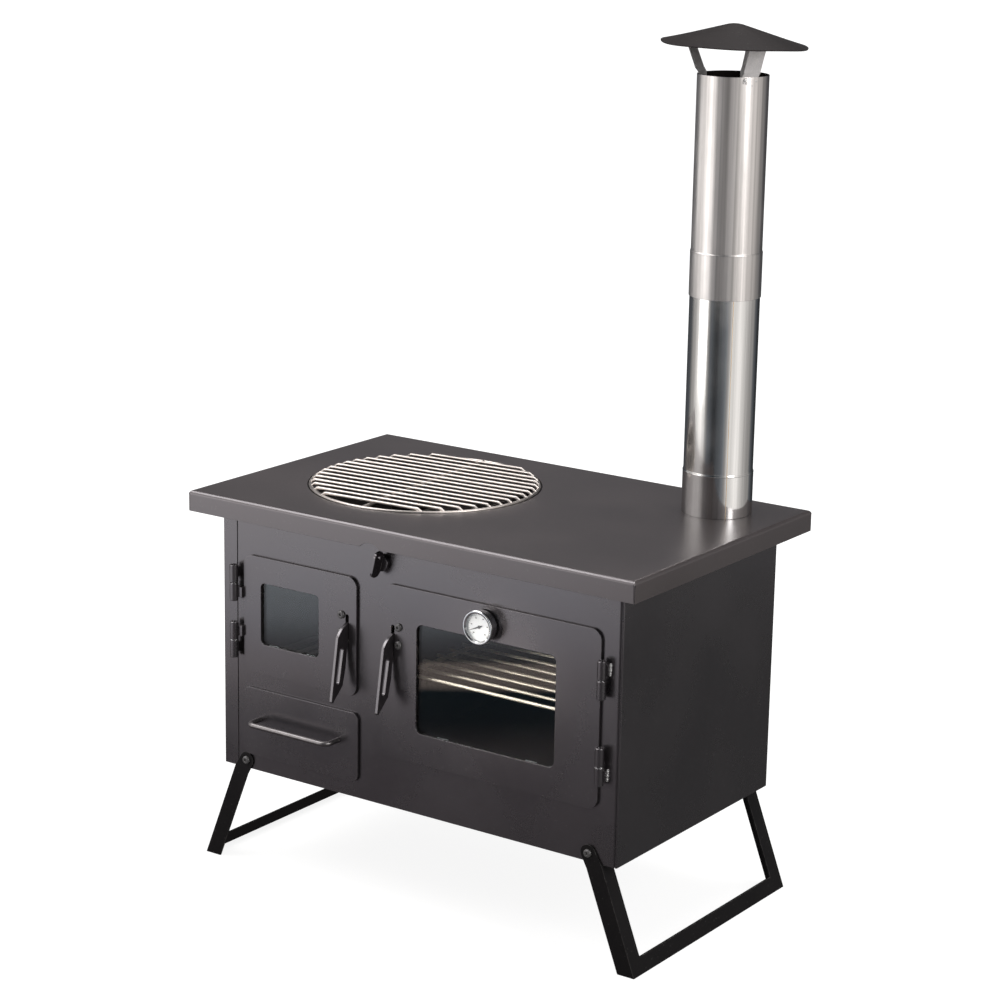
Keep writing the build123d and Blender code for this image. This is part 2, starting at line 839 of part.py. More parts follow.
def thermometer_glass():
    lens_z = gauge_depth - gauge_lens_back - 0.02
    outer = gauge_case_r - gauge_wall - dial_fit
    return gauge_ring([(0, lens_z - gauge_lens_t), (outer, lens_z - gauge_lens_t), (outer, lens_z), (0, lens_z)])


def thermometer_pointer():
    """The needle, its hub and the spindle that turns in the dial and the neck."""
    z = dial_z + gauge_needle_t
    needle = make_face(Polyline(
        (-gauge_hub_r * 2.4, -0.7),
        (0, -1.0),
        (gauge_needle_len, -0.25),
        (gauge_needle_len, 0.25),
        (0, 1.0),
        (-gauge_hub_r * 2.4, 0.7),
        close=True,
    ))
    pointer = extrude(needle + Circle(gauge_hub_r), gauge_needle_t)
    spindle_len = z - gauge_neck_h / 2
    pointer += Pos(0, 0, -spindle_len / 2) * Cylinder(gauge_spindle_r, spindle_len)
    turned = Pos(0, 0, z) * Rot(0, 0, gauge_needle_angle) * pointer
    return on_door(turned, gauge_x, gauge_z, door_front)


def thermometer_nut():
    shape = nut(gauge_nut_af, gauge_nut_h, gauge_shank_r + stud_fit)
    return Pos(gauge_x, door_back, gauge_z) * Rot(-90, 0, 0) * shape


# Wire grate over the pot hole

def grill_grate():
    """A wire ring and one cross bar level with the cooktop, with rods welded on top and bent down at their ends."""
    wire_r = grill_wire_d / 2
    raised = grill_wire_d - wire_sink
    grate = Torus(grill_ring_r, wire_r)
    grate += Rot(90, 0, 0) * Cylinder(wire_r, 2 * grill_ring_r)
    for i in range(grill_rods):
        offset = (i - (grill_rods - 1) / 2) * grill_pitch
        half = math.sqrt(grill_ring_r**2 - offset**2)
        straight = half - grill_wire_d - grill_end_in
        path = Polyline(
            (-half, offset, 0),
            (-straight, offset, raised),
            (straight, offset, raised),
            (half, offset, 0),
        )
        start = Plane(origin=(-half, offset, 0), z_dir=(half - straight, 0, raised))
        grate += sweep(start * Circle(wire_r), path=path, transition=Transition.RIGHT)
    return Pos(pot_x, pot_y, under_top + wire_r) * Rot(0, 0, grill_turn) * grate


# Folding legs, drawn with the pivot at the origin and the leg hanging down, outer face at +X

def leg_flange(y):
    """The part of the leg beside the cabinet: a rounded ear that runs into the post."""
    length = 2 * cab_bottom
    strip = leg_pivot_up / math.cos(math.radians(leg_splay)) + leg_out * math.tan(math.radians(leg_splay))
    strip_face = Pos((leg_out - leg_in) / 2, -strip - length / 2) * Rectangle(leg_out + leg_in, length)
    ear = make_hull(Circle(leg_ear_r).edges() + Line((-leg_in, -strip), (leg_out, -strip)).edges())
    face = ear + strip_face - Circle(screw_r + screw_fit)
    return Pos(0, (y[0] + y[1]) / 2, 0) * Rot(90, 0, 0) * extrude(face, (y[1] - y[0]) / 2, both=True)


def right_leg():
    outer = back + leg_gap + leg_sheet
    inner = back + leg_gap
    x = (leg_out - leg_sheet, leg_out)
    length = 2 * cab_bottom
    splay = Pos(leg_pivot_x, 0, leg_pivot_z) * Rot(0, -leg_splay, 0)
    plate_part = splay * box(x, (-outer, outer), (-length, 0))
    plate_part &= box((0, top_w), (-outer, outer), (0, cab_bottom - leg_gap))
    bar_top = leg_bar_h * math.cos(math.radians(leg_splay))
    gap_y = outer - leg_post_w
    plate_part -= box((0, top_w), (-gap_y, gap_y), (bar_top, cab_bottom))
    leg = plate_part
    for y in ((-outer, -inner), (inner, outer)):
        flange = splay * leg_flange(y)
        leg += flange & box((0, top_w), (-outer, outer), (0, top_h))
    return leg


def leg_bolts():
    length = leg_sheet + leg_gap + 2 * sheet + weld_gap + nut_h + 1
    head = cab_d / 2 + leg_gap + leg_sheet
    bolts = []
    for x in (-leg_pivot_x, leg_pivot_x):
        bolts.append(Pos(x, -head, leg_pivot_z) * Rot(90, 0, 0) * button_screw(length))
        bolts.append(Pos(x, head, leg_pivot_z) * Rot(-90, 0, 0) * button_screw(length))
    return bolts


def leg_nuts():
    inside = cab_d / 2 - 2 * sheet - weld_gap
    shape = nut(screw_r * 3.2, nut_h, screw_r + screw_fit)
    nuts = []
    for x in (-leg_pivot_x, leg_pivot_x):
        nuts.append(Pos(x, -inside, leg_pivot_z) * Rot(-90, 0, 0) * shape)
        nuts.append(Pos(x, inside, leg_pivot_z) * Rot(90, 0, 0) * shape)
    return nuts


# Flue, drawn as radius and height over the cooktop

def flue_ring(profile):
    solid = revolve(Plane.XZ * make_face(Polyline(*profile, close=True)), axis=Axis.Z)
    return Pos(flue_x, flue_y, top_h) * solid


def flue_collar():
    inner = collar_r - collar_wall
    reach = collar_r + collar_flange
    collar = flue_ring([
        (inner, -2 * sheet),
        (reach, -2 * sheet),
        (reach, -sheet),
        (collar_r, -sheet),
        (collar_r, collar_up),
        (inner, collar_up),
    ])
    beyond = (inner_back - weld_gap, flue_y + reach)
    return collar - box((flue_x - reach, flue_x + reach), beyond, (0, under_top))


lower_socket_r = collar_r + pipe_fit
upper_socket_r = lower_body_r + pipe_fit


def flue_pipe_lower():
    low = weld_gap * 2
    bore = lower_body_r - pipe_wall
    return flue_ring([
        (lower_socket_r, low),
        (lower_socket_r + pipe_wall, low),
        (lower_socket_r + pipe_wall, lower_socket_h - shoulder_h),
        (lower_body_r, lower_socket_h),
        (lower_body_r, lower_len),
        (bore, lower_len),
        (bore, lower_socket_h),
        (lower_socket_r, lower_socket_h - shoulder_h),
    ])


upper_shoulder = lower_len + rail_gap


def flue_pipe_upper():
    bore = upper_body_r - pipe_wall
    low = upper_shoulder - upper_socket_h
    return flue_ring([
        (upper_socket_r, low),
        (upper_socket_r + pipe_wall, low),
        (upper_socket_r + pipe_wall, upper_shoulder),
        (upper_body_r, upper_shoulder + shoulder_h),
        (upper_body_r, upper_top),
        (bore, upper_top),
        (bore, upper_shoulder),
        (upper_socket_r, upper_shoulder),
    ])


cap_slope = math.degrees(math.atan2(cap_rise, cap_r))
cap_place = Pos(flue_x, flue_y, top_h + cap_base)
cap_lean = Rot(0, 0, cap_tilt_to) * Rot(0, cap_tilt, 0) * Rot(0, 0, -cap_tilt_to)


def rain_cap():
    """A shallow cone of thin sheet with a rounded nose."""
    tilt = math.radians(cap_slope)
    inward = (cap_t * math.sin(tilt), cap_t * math.cos(tilt))
    nose_z = (cap_r - cap_nose_r) * math.tan(tilt)
    ball_r = cap_nose_r / math.sin(tilt)
    ball_z = nose_z - ball_r * math.cos(tilt)
    edges = Line((cap_r, 0), (cap_nose_r, nose_z))
    edges += CenterArc((0, ball_z), ball_r, 90 - cap_slope, cap_slope)
    edges += Line((0, ball_z + ball_r), (0, ball_z + ball_r - cap_t))
    edges += CenterArc((0, ball_z), ball_r - cap_t, 90 - cap_slope, cap_slope)
    edges += Line((cap_nose_r - inward[0], nose_z - inward[1]), (cap_r - inward[0], -inward[1]))
    edges += Line((cap_r - inward[0], -inward[1]), (cap_r, 0))
    cone = revolve(Plane.XZ * make_face(edges), axis=Axis.Z)
    return cap_place * cap_lean * cone


def under_cap():
    """The space that the cap fills, from just under its sheet upwards, which the straps stay out of."""
    drop = cap_t / math.cos(math.radians(cap_slope)) + weld_gap / 2
    low = 2 * cap_r * math.tan(math.radians(cap_slope))
    outline = Polyline((0, low - drop), (2 * cap_r, -drop), (2 * cap_r, low), (0, low), close=True)
    lift = cap_rise - low
    space = revolve(Plane.XZ * make_face(outline), axis=Axis.Z)
    return cap_place * cap_lean * Pos(0, 0, lift) * space


strap_start = upper_top
strap_root_r = upper_body_r - pipe_wall - weld_gap - strap_t


def strap_top():
    """Where a strap meets the cone's underside: radius and height over the cooktop."""
    lean = math.tan(math.radians(strap_lean))
    slope = cap_rise / cap_r
    under = cap_base - cap_t - strap_foot_gap
    radius = (strap_root_r + lean * (under + slope * cap_r - strap_start)) / (1 + lean * slope) + strap_t
    return radius, under + slope * (cap_r - radius)


def strap(angle):
    """One bent strip: a foot inside the pipe, a run that leans out over the rim and a foot under the cone."""
    radius, height = strap_top()
    fall = math.tan(math.radians(cap_tilt)) * math.cos(math.radians(angle - cap_tilt_to))
    height -= fall * radius
    reach = strap_foot * math.cos(math.radians(cap_slope))
    drop = reach * (math.tan(math.radians(cap_slope)) + fall)
    half = strap_t / 2
    lean = math.tan(math.radians(strap_lean))
    bend = strap_root_r + half
    points = [
        (bend + lean * strap_blend, strap_start + strap_blend),
        (bend + lean * (height - strap_start), height - half),
        (bend + lean * (height - strap_start) + reach, height - half - drop),
    ]
    line = FilletPolyline(*points, radius=strap_t)
    strip = extrude(Plane.XZ * trace(line, line_width=strap_t), strap_w / 2, both=True)
    strip &= Pos(bend, 0, strap_start + strap_blend + strap_w) * Box(8 * strap_foot, strap_w, 2 * strap_w)
    strip -= Rot(0, 0, -angle) * Pos(-flue_x, -flue_y, -top_h) * under_cap()
    curved = make_face(
        ThreePointArc(*arc_points(strap_root_r))
        + ThreePointArc(*arc_points(strap_root_r + strap_t))
        + Line(arc_points(strap_root_r)[0], arc_points(strap_root_r + strap_t)[0])
        + Line(arc_points(strap_root_r)[2], arc_points(strap_root_r + strap_t)[2])
    )
    foot = Pos(0, 0, strap_start - strap_foot) * extrude(curved, strap_foot)
    flat_t = strap_t / math.cos(math.radians(strap_lean))
    flat = Pos(bend + lean * strap_blend, 0, 0) * Rectangle(flat_t, strap_w)
    blend = loft([Pos(0, 0, strap_start) * curved, Pos(0, 0, strap_start + strap_blend) * flat], ruled=True)
    placed = Pos(flue_x, flue_y, top_h) * Rot(0, 0, angle) * (foot + blend + strip)
    return placed


def arc_points(radius):
    """Three points on a circle round the flue's axis, across a strap's width."""
    half = strap_w / 2
    run = math.sqrt(radius**2 - half**2)
    return (run, -half), (radius, 0), (run, half)


os.makedirs("parts", exist_ok=True)

save("cooktop", cooktop())
save("pot_ledge_ring", pot_ledge_ring())
save("grill_grate", grill_grate())
save("side_panel_left", side_panel_left())
save("side_panel_right", side_panel_right())
save("front_panel", front_panel())
save("back_panel", back_panel())
save("bottom_panel", bottom_panel())
save("centre_partition", centre_partition())
save("firebox_liner", firebox_liner())
save("grate_ledges", *grate_ledges())
save("fire_grate", fire_grate())
save("ash_drawer_front", ash_drawer_front())
save("ash_drawer_tray", ash_drawer_tray())
save("ash_drawer_handle", ash_drawer_handle())
save("drawer_rails", *drawer_rails())
save("oven_box", oven_box())
save("oven_rack", oven_rack())
save("rack_rails", *rack_rails())
save("damper_shaft", damper_shaft())
save("damper_flap", damper_flap())
save("damper_knob", damper_knob())

doors = {
    "fire": (fire_door_x, fire_door_z, fire_window_x, fire_window_z, fire_window_r, fire_latch_x, -1),
    "oven": (oven_door_x, oven_door_z, oven_window_x, oven_window_z, oven_window_r, oven_latch_x, 1),
}
for name, (door_x, door_z, window_x, window_z, window_r, latch_x, screw_side) in doors.items():
    door = door_plate(door_x, door_z, window_x, window_z, window_r, latch_x, screw_side)
    if name == "oven":
        door -= along_y(gauge_shank_r + stud_fit, gauge_x, gauge_z, (door_front - 1, door_back + 1))
    save(name + "_door", door)
    save(name + "_glass", glass_pane(window_x, window_z))
    save(name + "_glass_clips", *glass_clips(window_x, window_z))
    save(name + "_glass_nuts", *glass_nuts(window_x, window_z))
    save(name + "_latch_handle", latch_handle(latch_x))
    save(name + "_latch_bracket", latch_bracket(latch_x, screw_side))
    save(name + "_latch_pin", latch_pin(latch_x, screw_side))
    save(name + "_latch_screws", *latch_screws(latch_x, screw_side))

fire_keeper = latch_keeper(fire_latch_x, fire_open_x[1] + opening_r, True)
oven_keeper = latch_keeper(oven_latch_x, oven_x[0], False)
save("latch_keepers", fire_keeper, oven_keeper)
save("fire_door_knuckles", *door_knuckles(fire_axis, fire_door_x[0], fire_hinge_z))
save("oven_door_knuckles", *door_knuckles(oven_axis, oven_door_x[1], oven_hinge_z))
save("frame_knuckles", *frame_knuckles(fire_axis, -1, fire_hinge_z), *frame_knuckles(oven_axis, 1, oven_hinge_z))
save("hinge_pins", *hinge_pins(fire_axis, fire_hinge_z), *hinge_pins(oven_axis, oven_hinge_z))
save("hinge_washers", hinge_washer(fire_axis, fire_hinge_z), hinge_washer(oven_axis, oven_hinge_z))

save("thermometer_case", thermometer_case())
save("thermometer_dial", thermometer_dial())
save("thermometer_glass", thermometer_glass())
save("thermometer_pointer", thermometer_pointer())
save("thermometer_nut", thermometer_nut())

save("right_leg", right_leg())
save("left_leg", mirror(right_leg(), about=Plane.YZ))
save("leg_bolts", *leg_bolts())
save("leg_nuts", *leg_nuts())

save("flue_collar", flue_collar())
save("flue_pipe_lower", flue_pipe_lower())
save("flue_pipe_upper", flue_pipe_upper())
save("rain_cap", rain_cap())
save("cap_straps", *[strap(angle) for angle in strap_angles])
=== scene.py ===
import math

import bmesh
import bpy
from bpy.props import FloatProperty, FloatVectorProperty, IntProperty, PointerProperty
from mathutils import Matrix, Vector


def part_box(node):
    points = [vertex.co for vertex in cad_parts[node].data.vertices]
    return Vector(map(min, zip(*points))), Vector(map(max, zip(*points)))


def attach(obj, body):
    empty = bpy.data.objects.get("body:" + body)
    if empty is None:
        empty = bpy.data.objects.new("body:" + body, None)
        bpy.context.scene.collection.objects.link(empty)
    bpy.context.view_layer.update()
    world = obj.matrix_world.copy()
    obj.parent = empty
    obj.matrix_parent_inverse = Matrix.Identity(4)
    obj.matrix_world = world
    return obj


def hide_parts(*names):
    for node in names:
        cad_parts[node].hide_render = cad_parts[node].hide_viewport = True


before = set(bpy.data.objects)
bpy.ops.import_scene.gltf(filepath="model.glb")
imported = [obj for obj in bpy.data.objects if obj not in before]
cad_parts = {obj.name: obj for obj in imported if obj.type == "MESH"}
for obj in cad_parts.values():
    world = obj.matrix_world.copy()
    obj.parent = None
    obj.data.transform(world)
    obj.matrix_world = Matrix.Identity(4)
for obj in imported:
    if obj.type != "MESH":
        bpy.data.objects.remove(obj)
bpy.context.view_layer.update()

bl_info = {
    "name": "Wood Stove",
    "version": (1, 0, 0),
    "blender": (4, 5, 0),
    "location": "View3D > Sidebar > Stove",
    "description": "Dresses the packed wood stove: painted sheet, wire, glass, stainless flue and studio",
    "category": "Object",
}

MM = 0.001
CIRCLE = 2 * math.pi
MERGE = 1e-6
FLAT = math.radians(1.0)
CREASE = math.radians(30.0)
UPPER_PIPE = 39.0 * MM

# The cap's dents as turn, distance from its middle and size, and the waves in its rim
DENTS = ((-0.85, 34 * MM, 2.6 * MM), (-0.98, 43 * MM, 1.8 * MM), (2.2, 50 * MM, 2.2 * MM))
DENT_DEPTH = 0.6 * MM
RIM_WAVE = 0.6 * MM

# Where the straps stand round the pipe, and each spot weld's degrees aside, millimetres down and size
STRAP_TURNS = (-30, 93, 186)
STRAP_WELDS = (
    (-11, 3.2, 2.0), (-13, 5.6, 1.2), (-8.5, 6.4, 1.3), (-10, 1.4, 1.0), (9, 4.2, 1.3), (2, 9.0, 0.8),
)


def along(node, axis):
    """Lowest and highest place of a CAD node on one axis, in metres."""
    low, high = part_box(node)
    return low[axis], high[axis]


def flue_axis():
    """The point on the ground under the middle of the flue pipes."""
    low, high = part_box("flue_pipe_lower")
    return Vector(((low.x + high.x) / 2, (low.y + high.y) / 2, 0))


# Settings that a user would change

def length(name, description, default):
    """A length setting."""
    return FloatProperty(name=name, description=description, default=default, unit="LENGTH")


def angle(name, description, degrees):
    """An angle setting, given in degrees."""
    return FloatProperty(name=name, description=description, default=math.radians(degrees), subtype="ANGLE")


def number(name, description, default, low, high):
    """A whole number setting with its limits."""
    return IntProperty(name=name, description=description, default=default, min=low, max=high)


def tint(name, description, default):
    """A colour setting."""
    return FloatVectorProperty(name=name, description=description, subtype="COLOR", size=3, default=default)


class StoveSizes(bpy.types.PropertyGroup):
    edge: length("Sheet edge", "Radius of the rounded edges of laser cut sheet", 0.35 * MM)
    thin_edge: length("Thin edge", "Radius of the edges of thin brackets and straps", 0.2 * MM)
    weld: length("Weld bead", "Radius of the weld beads on the hinges", 1.5 * MM)
    pipe_steps: number("Pipe steps", "Steps round the flue pipes and the rain cap", 128, 32, 256)
    wire_sides: number("Wire sides", "Sides of each wire rod", 12, 6, 32)


class StoveColours(bpy.types.PropertyGroup):
    paint: tint("Paint", "Heat resistant paint on the sheet metal", (0.009, 0.0079, 0.0085))
    paint_light: tint("Paint cloud", "The lighter clouds in the paint", (0.013, 0.0114, 0.012))
    top: tint("Cooktop", "The browner tone of the heated cooktop", (0.041, 0.0333, 0.0315))
    # The edge colour is partly rubbed paint and partly a painted highlight along the sheet's edges.
    edge_rub_and_highlight: tint("Rubbed and highlighted edge", "Paint polished along the sheet's edges", (0.16, 0.15, 0.145))
    steel: tint("Stainless steel", "Flue pipes, straps and handle", (0.8, 0.785, 0.765))
    wire: tint("Bright wire", "Pot grate and oven rack", (0.7, 0.64, 0.6))
    soot: tint("Soot", "The firebox and the oven inside", (0.028, 0.022, 0.02))
    glass: tint("Glass", "The tint of the windows", (0.84, 0.88, 0.88))


# Node helpers

def rgba(colour):
    """A colour with full alpha."""
    return (*colour[:3], 1.0)


def assign(item, **settings):
    """Sets plain attributes on a new item and returns it."""
    for name, value in settings.items():
        setattr(item, name, value)
    return item


def put(tree, kind, **settings):
    """Adds a node and sets its plain settings."""
    return assign(tree.nodes.new(kind), **settings)


def feed(source, target):
    """Links one socket to another."""
    target.id_data.links.new(source, target)


def fill(socket, value):
    """Links a socket to another socket, or sets its plain value."""
    if hasattr(value, "is_linked"):
        feed(value, socket)
    else:
        socket.default_value = value


def fix(item, **values):
    """Links or sets a node's inputs, named by socket with spaces as underscores."""
    for label, value in values.items():
        fill(item.inputs[label.replace("_", " ")], value)


def maths(tree, operation, *values):
    """A Math node from sockets or numbers, returning its output."""
    item = put(tree, "ShaderNodeMath", operation=operation)
    for socket, value in zip(item.inputs, values):
        fill(socket, value)
    return item.outputs[0]


def vectors(tree, operation, *values):
    """A Vector Math node from sockets or vectors, returning its vector or, where it gives one, its number."""
    item = put(tree, "ShaderNodeVectorMath", operation=operation)
    for socket, value in zip(item.inputs, values):
        fill(socket, value)
    return item.outputs["Value" if operation in ("LENGTH", "DOT_PRODUCT") else "Vector"]


def spread(tree, value, low, high, top=1.0, **settings):
    """A value spread from between two levels to between 0 and a top."""
    item = put(tree, "ShaderNodeMapRange", **settings)
    fix(item, From_Min=low, From_Max=high, To_Max=top, Value=value)
    return item.outputs["Result"]


def ramp(tree, value, stops):
    """A colour ramp with a stop at each place and colour, returning its colour."""
    item = put(tree, "ShaderNodeValToRGB")
    points = item.color_ramp.elements
    while len(points) < len(stops):
        points.new(0.5)
    for point, (place, colour) in zip(points, stops):
        point.position = place
        point.color = rgba(colour)
    feed(value, item.inputs[0])
    return item.outputs[0]


def mix_shader(tree, factor, first, second):
    """A Mix Shader between two shaders, returning its output."""
    item = put(tree, "ShaderNodeMixShader")
    for socket, source in zip(item.inputs, (factor, first, second)):
        feed(source, socket)
    return item.outputs[0]


def mix_colour(tree, factor, first, second):
    """A colour mix from sockets, returning its output."""
    item = put(tree, "ShaderNodeMix", data_type="RGBA")
    for place, value in ((0, factor), (6, first), (7, second)):
        plain = hasattr(value, "is_linked") or isinstance(value, float)
        fill(item.inputs[place], value if plain else rgba(value))
    return item.outputs[2]


def new_group(name, inputs, outputs):
    """An empty shader group with named sockets, its input node and its output node."""
    tree = bpy.data.node_groups.new(name, "ShaderNodeTree")
    for label, kind, default in inputs:
        socket = tree.interface.new_socket(label, in_out="INPUT", socket_type=kind)
        socket.default_value = default
    for label, kind in outputs:
        tree.interface.new_socket(label, in_out="OUTPUT", socket_type=kind)
    return tree, put(tree, "NodeGroupInput"), put(tree, "NodeGroupOutput")


def object_point(tree):
    """The Object coordinates' output."""
    return put(tree, "ShaderNodeTexCoord").outputs["Object"]


def noise_mask(tree, point, scale, low, high, detail=3.0):
    """Noise spread between two levels to a mask from 0 to 1."""
    cloud = put(tree, "ShaderNodeTexNoise")
    fix(cloud, Detail=detail, Vector=point, Scale=scale)
    return spread(tree, cloud.outputs["Fac"], low, high)


NUMBER = "NodeSocketFloat"
COLOUR = "NodeSocketColor"
VECTOR = "NodeSocketVector"


def bump(tree, height, strength, distance):
    """A Bump node's normal from a height mask."""
    item = put(tree, "ShaderNodeBump")
    fix(item, Distance=distance, Strength=strength, Height=height)
    return item.outputs["Normal"]


def cloud_group():
    """Two tones in slow clouds, with a finer mottle over them."""
    tree, given, out = new_group(
        "Cloudy tone",
        [
            ("Tone", COLOUR, (0.04, 0.04, 0.04, 1)),
            ("Cloud", COLOUR, (0.06, 0.06, 0.06, 1)),
            ("Scale", NUMBER, 7.0),
            ("Roughness", NUMBER, 0.42),
            ("Spread", NUMBER, 0.08),
        ],
        [("Colour", COLOUR), ("Roughness", NUMBER), ("Mask", NUMBER)],
    )
    point = object_point(tree)
    slow = noise_mask(tree, point, given.outputs["Scale"], 0.38, 0.66)
    mottle = noise_mask(tree, point, 160.0, 0.35, 0.7, 4.0)
    both = maths(tree, "ADD", maths(tree, "MULTIPLY", slow, 0.8), maths(tree, "MULTIPLY", mottle, 0.2))
    fix(out, Colour=mix_colour(tree, both, given.outputs["Tone"], given.outputs["Cloud"]))
    change = maths(tree, "MULTIPLY", both, given.outputs["Spread"])
    fix(out, Roughness=maths(tree, "ADD", given.outputs["Roughness"], change), Mask=both)
    return tree


def peel_group():
    """The fine orange peel of sprayed paint."""
    values = [("Scale", NUMBER, 900.0), ("Strength", NUMBER, 0.05)]
    tree, given, out = new_group("Paint peel", values, [("Normal", VECTOR)])
    grain = noise_mask(tree, object_point(tree), given.outputs["Scale"], 0.2, 0.8, 2.0)
    fix(out, Normal=bump(tree, grain, given.outputs["Strength"], 0.06 * MM))
    return tree


def rub_and_highlight_group():
    """A broken mask along the marked edges, for a lighter colour that is partly rubbed paint and partly a
    painted highlight.
    """
    values = [("Amount", NUMBER, 0.6), ("Scale", NUMBER, 120.0)]
    tree, given, out = new_group("Edge rub and highlight", values, [("Mask", NUMBER)])
    edge = put(tree, "ShaderNodeAttribute", attribute_name="edge_rub_and_highlight").outputs["Fac"]
    broken = noise_mask(tree, object_point(tree), given.outputs["Scale"], 0.35, 0.65)
    mask = maths(tree, "MULTIPLY", maths(tree, "MULTIPLY", edge, broken), given.outputs["Amount"])
    fix(out, Mask=mask)
    return tree


def speck_group():
    """Rare pale specks of dust."""
    values = [("Scale", NUMBER, 360.0), ("Amount", NUMBER, 0.07)]
    tree, given, out = new_group("Dust specks", values, [("Mask", NUMBER)])
    rare = noise_mask(tree, object_point(tree), given.outputs["Scale"], 0.765, 0.81, 0.0)
    fix(out, Mask=maths(tree, "MULTIPLY", rare, given.outputs["Amount"]))
    return tree


def grain_group():
    """Drawn lines in rolled or brushed steel: noise stretched along one direction."""
    values = [("Stretch", VECTOR, (1400.0, 1400.0, 9.0)), ("Strength", NUMBER, 0.15)]
    tree, given, out = new_group("Drawn grain", values, [("Mask", NUMBER), ("Normal", VECTOR)])
    point = vectors(tree, "MULTIPLY", object_point(tree), given.outputs["Stretch"])
    lines = noise_mask(tree, point, 1.0, 0.3, 0.7, 2.0)
    fix(out, Mask=lines, Normal=bump(tree, lines, given.outputs["Strength"], 0.03 * MM))
    return tree


def smudge_group():
    """Faint handling marks that dull a bright surface."""
    values = [("Scale", NUMBER, 22.0), ("Roughness", NUMBER, 0.15), ("Spread", NUMBER, 0.12)]
    tree, given, out = new_group("Smudges", values, [("Roughness", NUMBER), ("Mask", NUMBER)])
    marks = noise_mask(tree, object_point(tree), given.outputs["Scale"], 0.45, 0.75, 5.0)
    extra = maths(tree, "MULTIPLY", marks, given.outputs["Spread"])
    fix(out, Roughness=maths(tree, "ADD", given.outputs["Roughness"], extra), Mask=marks)
    return tree


# Colours that no setting changes
DUST = (0.3, 0.29, 0.28)
PAINT_SHEEN = (1.0, 0.94, 0.985)
# The near black colour given to the inside of the flue pipes.
BORE_DARK = (0.03, 0.026, 0.024)
SPOT_COLOUR = (1.0, 0.93, 0.87)

# The photograph's camera, as metres and as turn, pitch and roll
CAMERA_PLACE = (1.71237, -2.45784, 1.21694)
CAMERA_DEGREES = (34.83, 14.45, 1.05)

# The studio round the flue, as degrees from the camera's own direction and brightness
CAMERA_TURN = math.radians(34.8)
WARM, COOL = (1.0, 0.98, 0.965), (0.92, 1.0, 1.12)
COOL_BELOW = 0.3
BANDS = (
    (-180, 0.14), (-158, 0.06), (-132, 0.1), (-118, 0.36), (-104, 0.52), (-97, 0.85), (-86, 0.93),
    (-77, 1.06), (-69, 1.12), (-61, 0.78), (-54, 0.48), (-46, 0.14), (-32, 0.058), (-24, 0.035),
    (-12, 0.09), (1, 0.13), (8, 0.21), (16, 0.4), (22, 0.82), (28, 0.92), (35, 1.02), (42, 1.18),
    (57, 1.15), (64, 0.97), (72, 0.77), (81, 0.58), (99, 0.37), (111, 0.35), (119, 0.12),
    (139, 0.035), (160, 0.045), (180, 0.14),
)

# The floor seen in the front's glass and paint, as metres before the stove and colour
FRONT_MIRROR = (-0.571, -0.821, 0)
FAR_RIGHT = (0.908, -0.419, 0)
FLOOR_SPAN = 4.0
FLOOR_STRIPS = (
    (0.0, (0.1, 0.1, 0.1)), (0.55, (0.16, 0.14, 0.15)), (0.68, (0.15, 0.135, 0.145)),
    (0.78, (0.06, 0.075, 0.09)), (0.918, (0.055, 0.08, 0.1)), (0.924, (0.85, 0.7, 0.64)),
    (1.034, (0.87, 0.72, 0.67)), (1.04, (0.26, 0.25, 0.26)), (1.13, (0.42, 0.42, 0.47)),
    (1.19, (0.62, 0.65, 0.71)), (1.26, (0.88, 0.92, 1.02)), (1.4, (1.1, 1.17, 1.27)),
    (1.8, (1.0, 1.04, 1.1)),
)


def bands_group():
    """The studio seen in polished steel: bright screens and dark gaps round the camera's own direction."""
    values = [("Direction", VECTOR, (0.0, 0.0, 0.0))]
    tree, given, out = new_group("Studio bands", values, [("Colour", COLOUR)])
    split = put(tree, "ShaderNodeSeparateXYZ")
    fix(split, Vector=given.outputs["Direction"])
    turn = maths(tree, "ARCTAN2", split.outputs["Y"], split.outputs["X"])
    from_camera = maths(tree, "ADD", turn, math.pi / 2 - CAMERA_TURN)
    wrapped = maths(tree, "WRAP", from_camera, math.pi, -math.pi)
    share = maths(tree, "ADD", maths(tree, "DIVIDE", wrapped, CIRCLE), 0.5)
    stops = []
    for degrees, level in BANDS:
        cast = COOL if level < COOL_BELOW else WARM
        stops.append(((degrees + 180) / 360, [level * part for part in cast]))
    fix(out, Colour=ramp(tree, share, stops))
    return tree


def use_group(tree, name, **values):
    """Places a shader group with its own values."""
    item = put(tree, "ShaderNodeGroup", node_tree=bpy.data.node_groups[name])
    fix(item, **values)
    return item


def new_material(name):
    """A material with a Principled shader, returned with its tree and that shader."""
    material = bpy.data.materials.new(name + "_finish")
    material.use_nodes = True
    tree = material.node_tree
    return material, tree, tree.nodes["Principled BSDF"]


def paint(name, tone, cloud, edge_rub_and_highlight, roughness, level, rub_and_highlight_amount, ior=1.5):
    """Heat resistant paint: clouds, orange peel and lighter edges that are partly rubbed paint and partly a
    painted highlight.
    """
    material, tree, shader = new_material(name)
    tones = use_group(tree, "Cloudy tone", Tone=rgba(tone), Cloud=rgba(cloud), Roughness=roughness)
    edges = use_group(tree, "Edge rub and highlight", Amount=rub_and_highlight_amount)
    peel = use_group(tree, "Paint peel")
    specks = use_group(tree, "Dust specks")
    # Lighter edges: partly rubbed paint, partly a painted highlight.
    colour = mix_colour(tree, edges.outputs["Mask"], tones.outputs["Colour"], edge_rub_and_highlight)
    dusty = mix_colour(tree, specks.outputs["Mask"], colour, DUST)
    fix(shader, Base_Color=dusty, Roughness=tones.outputs["Roughness"], Normal=peel.outputs["Normal"])
    fix(shader, IOR=ior, Specular_IOR_Level=level, Specular_Tint=rgba(PAINT_SHEEN))
    return material


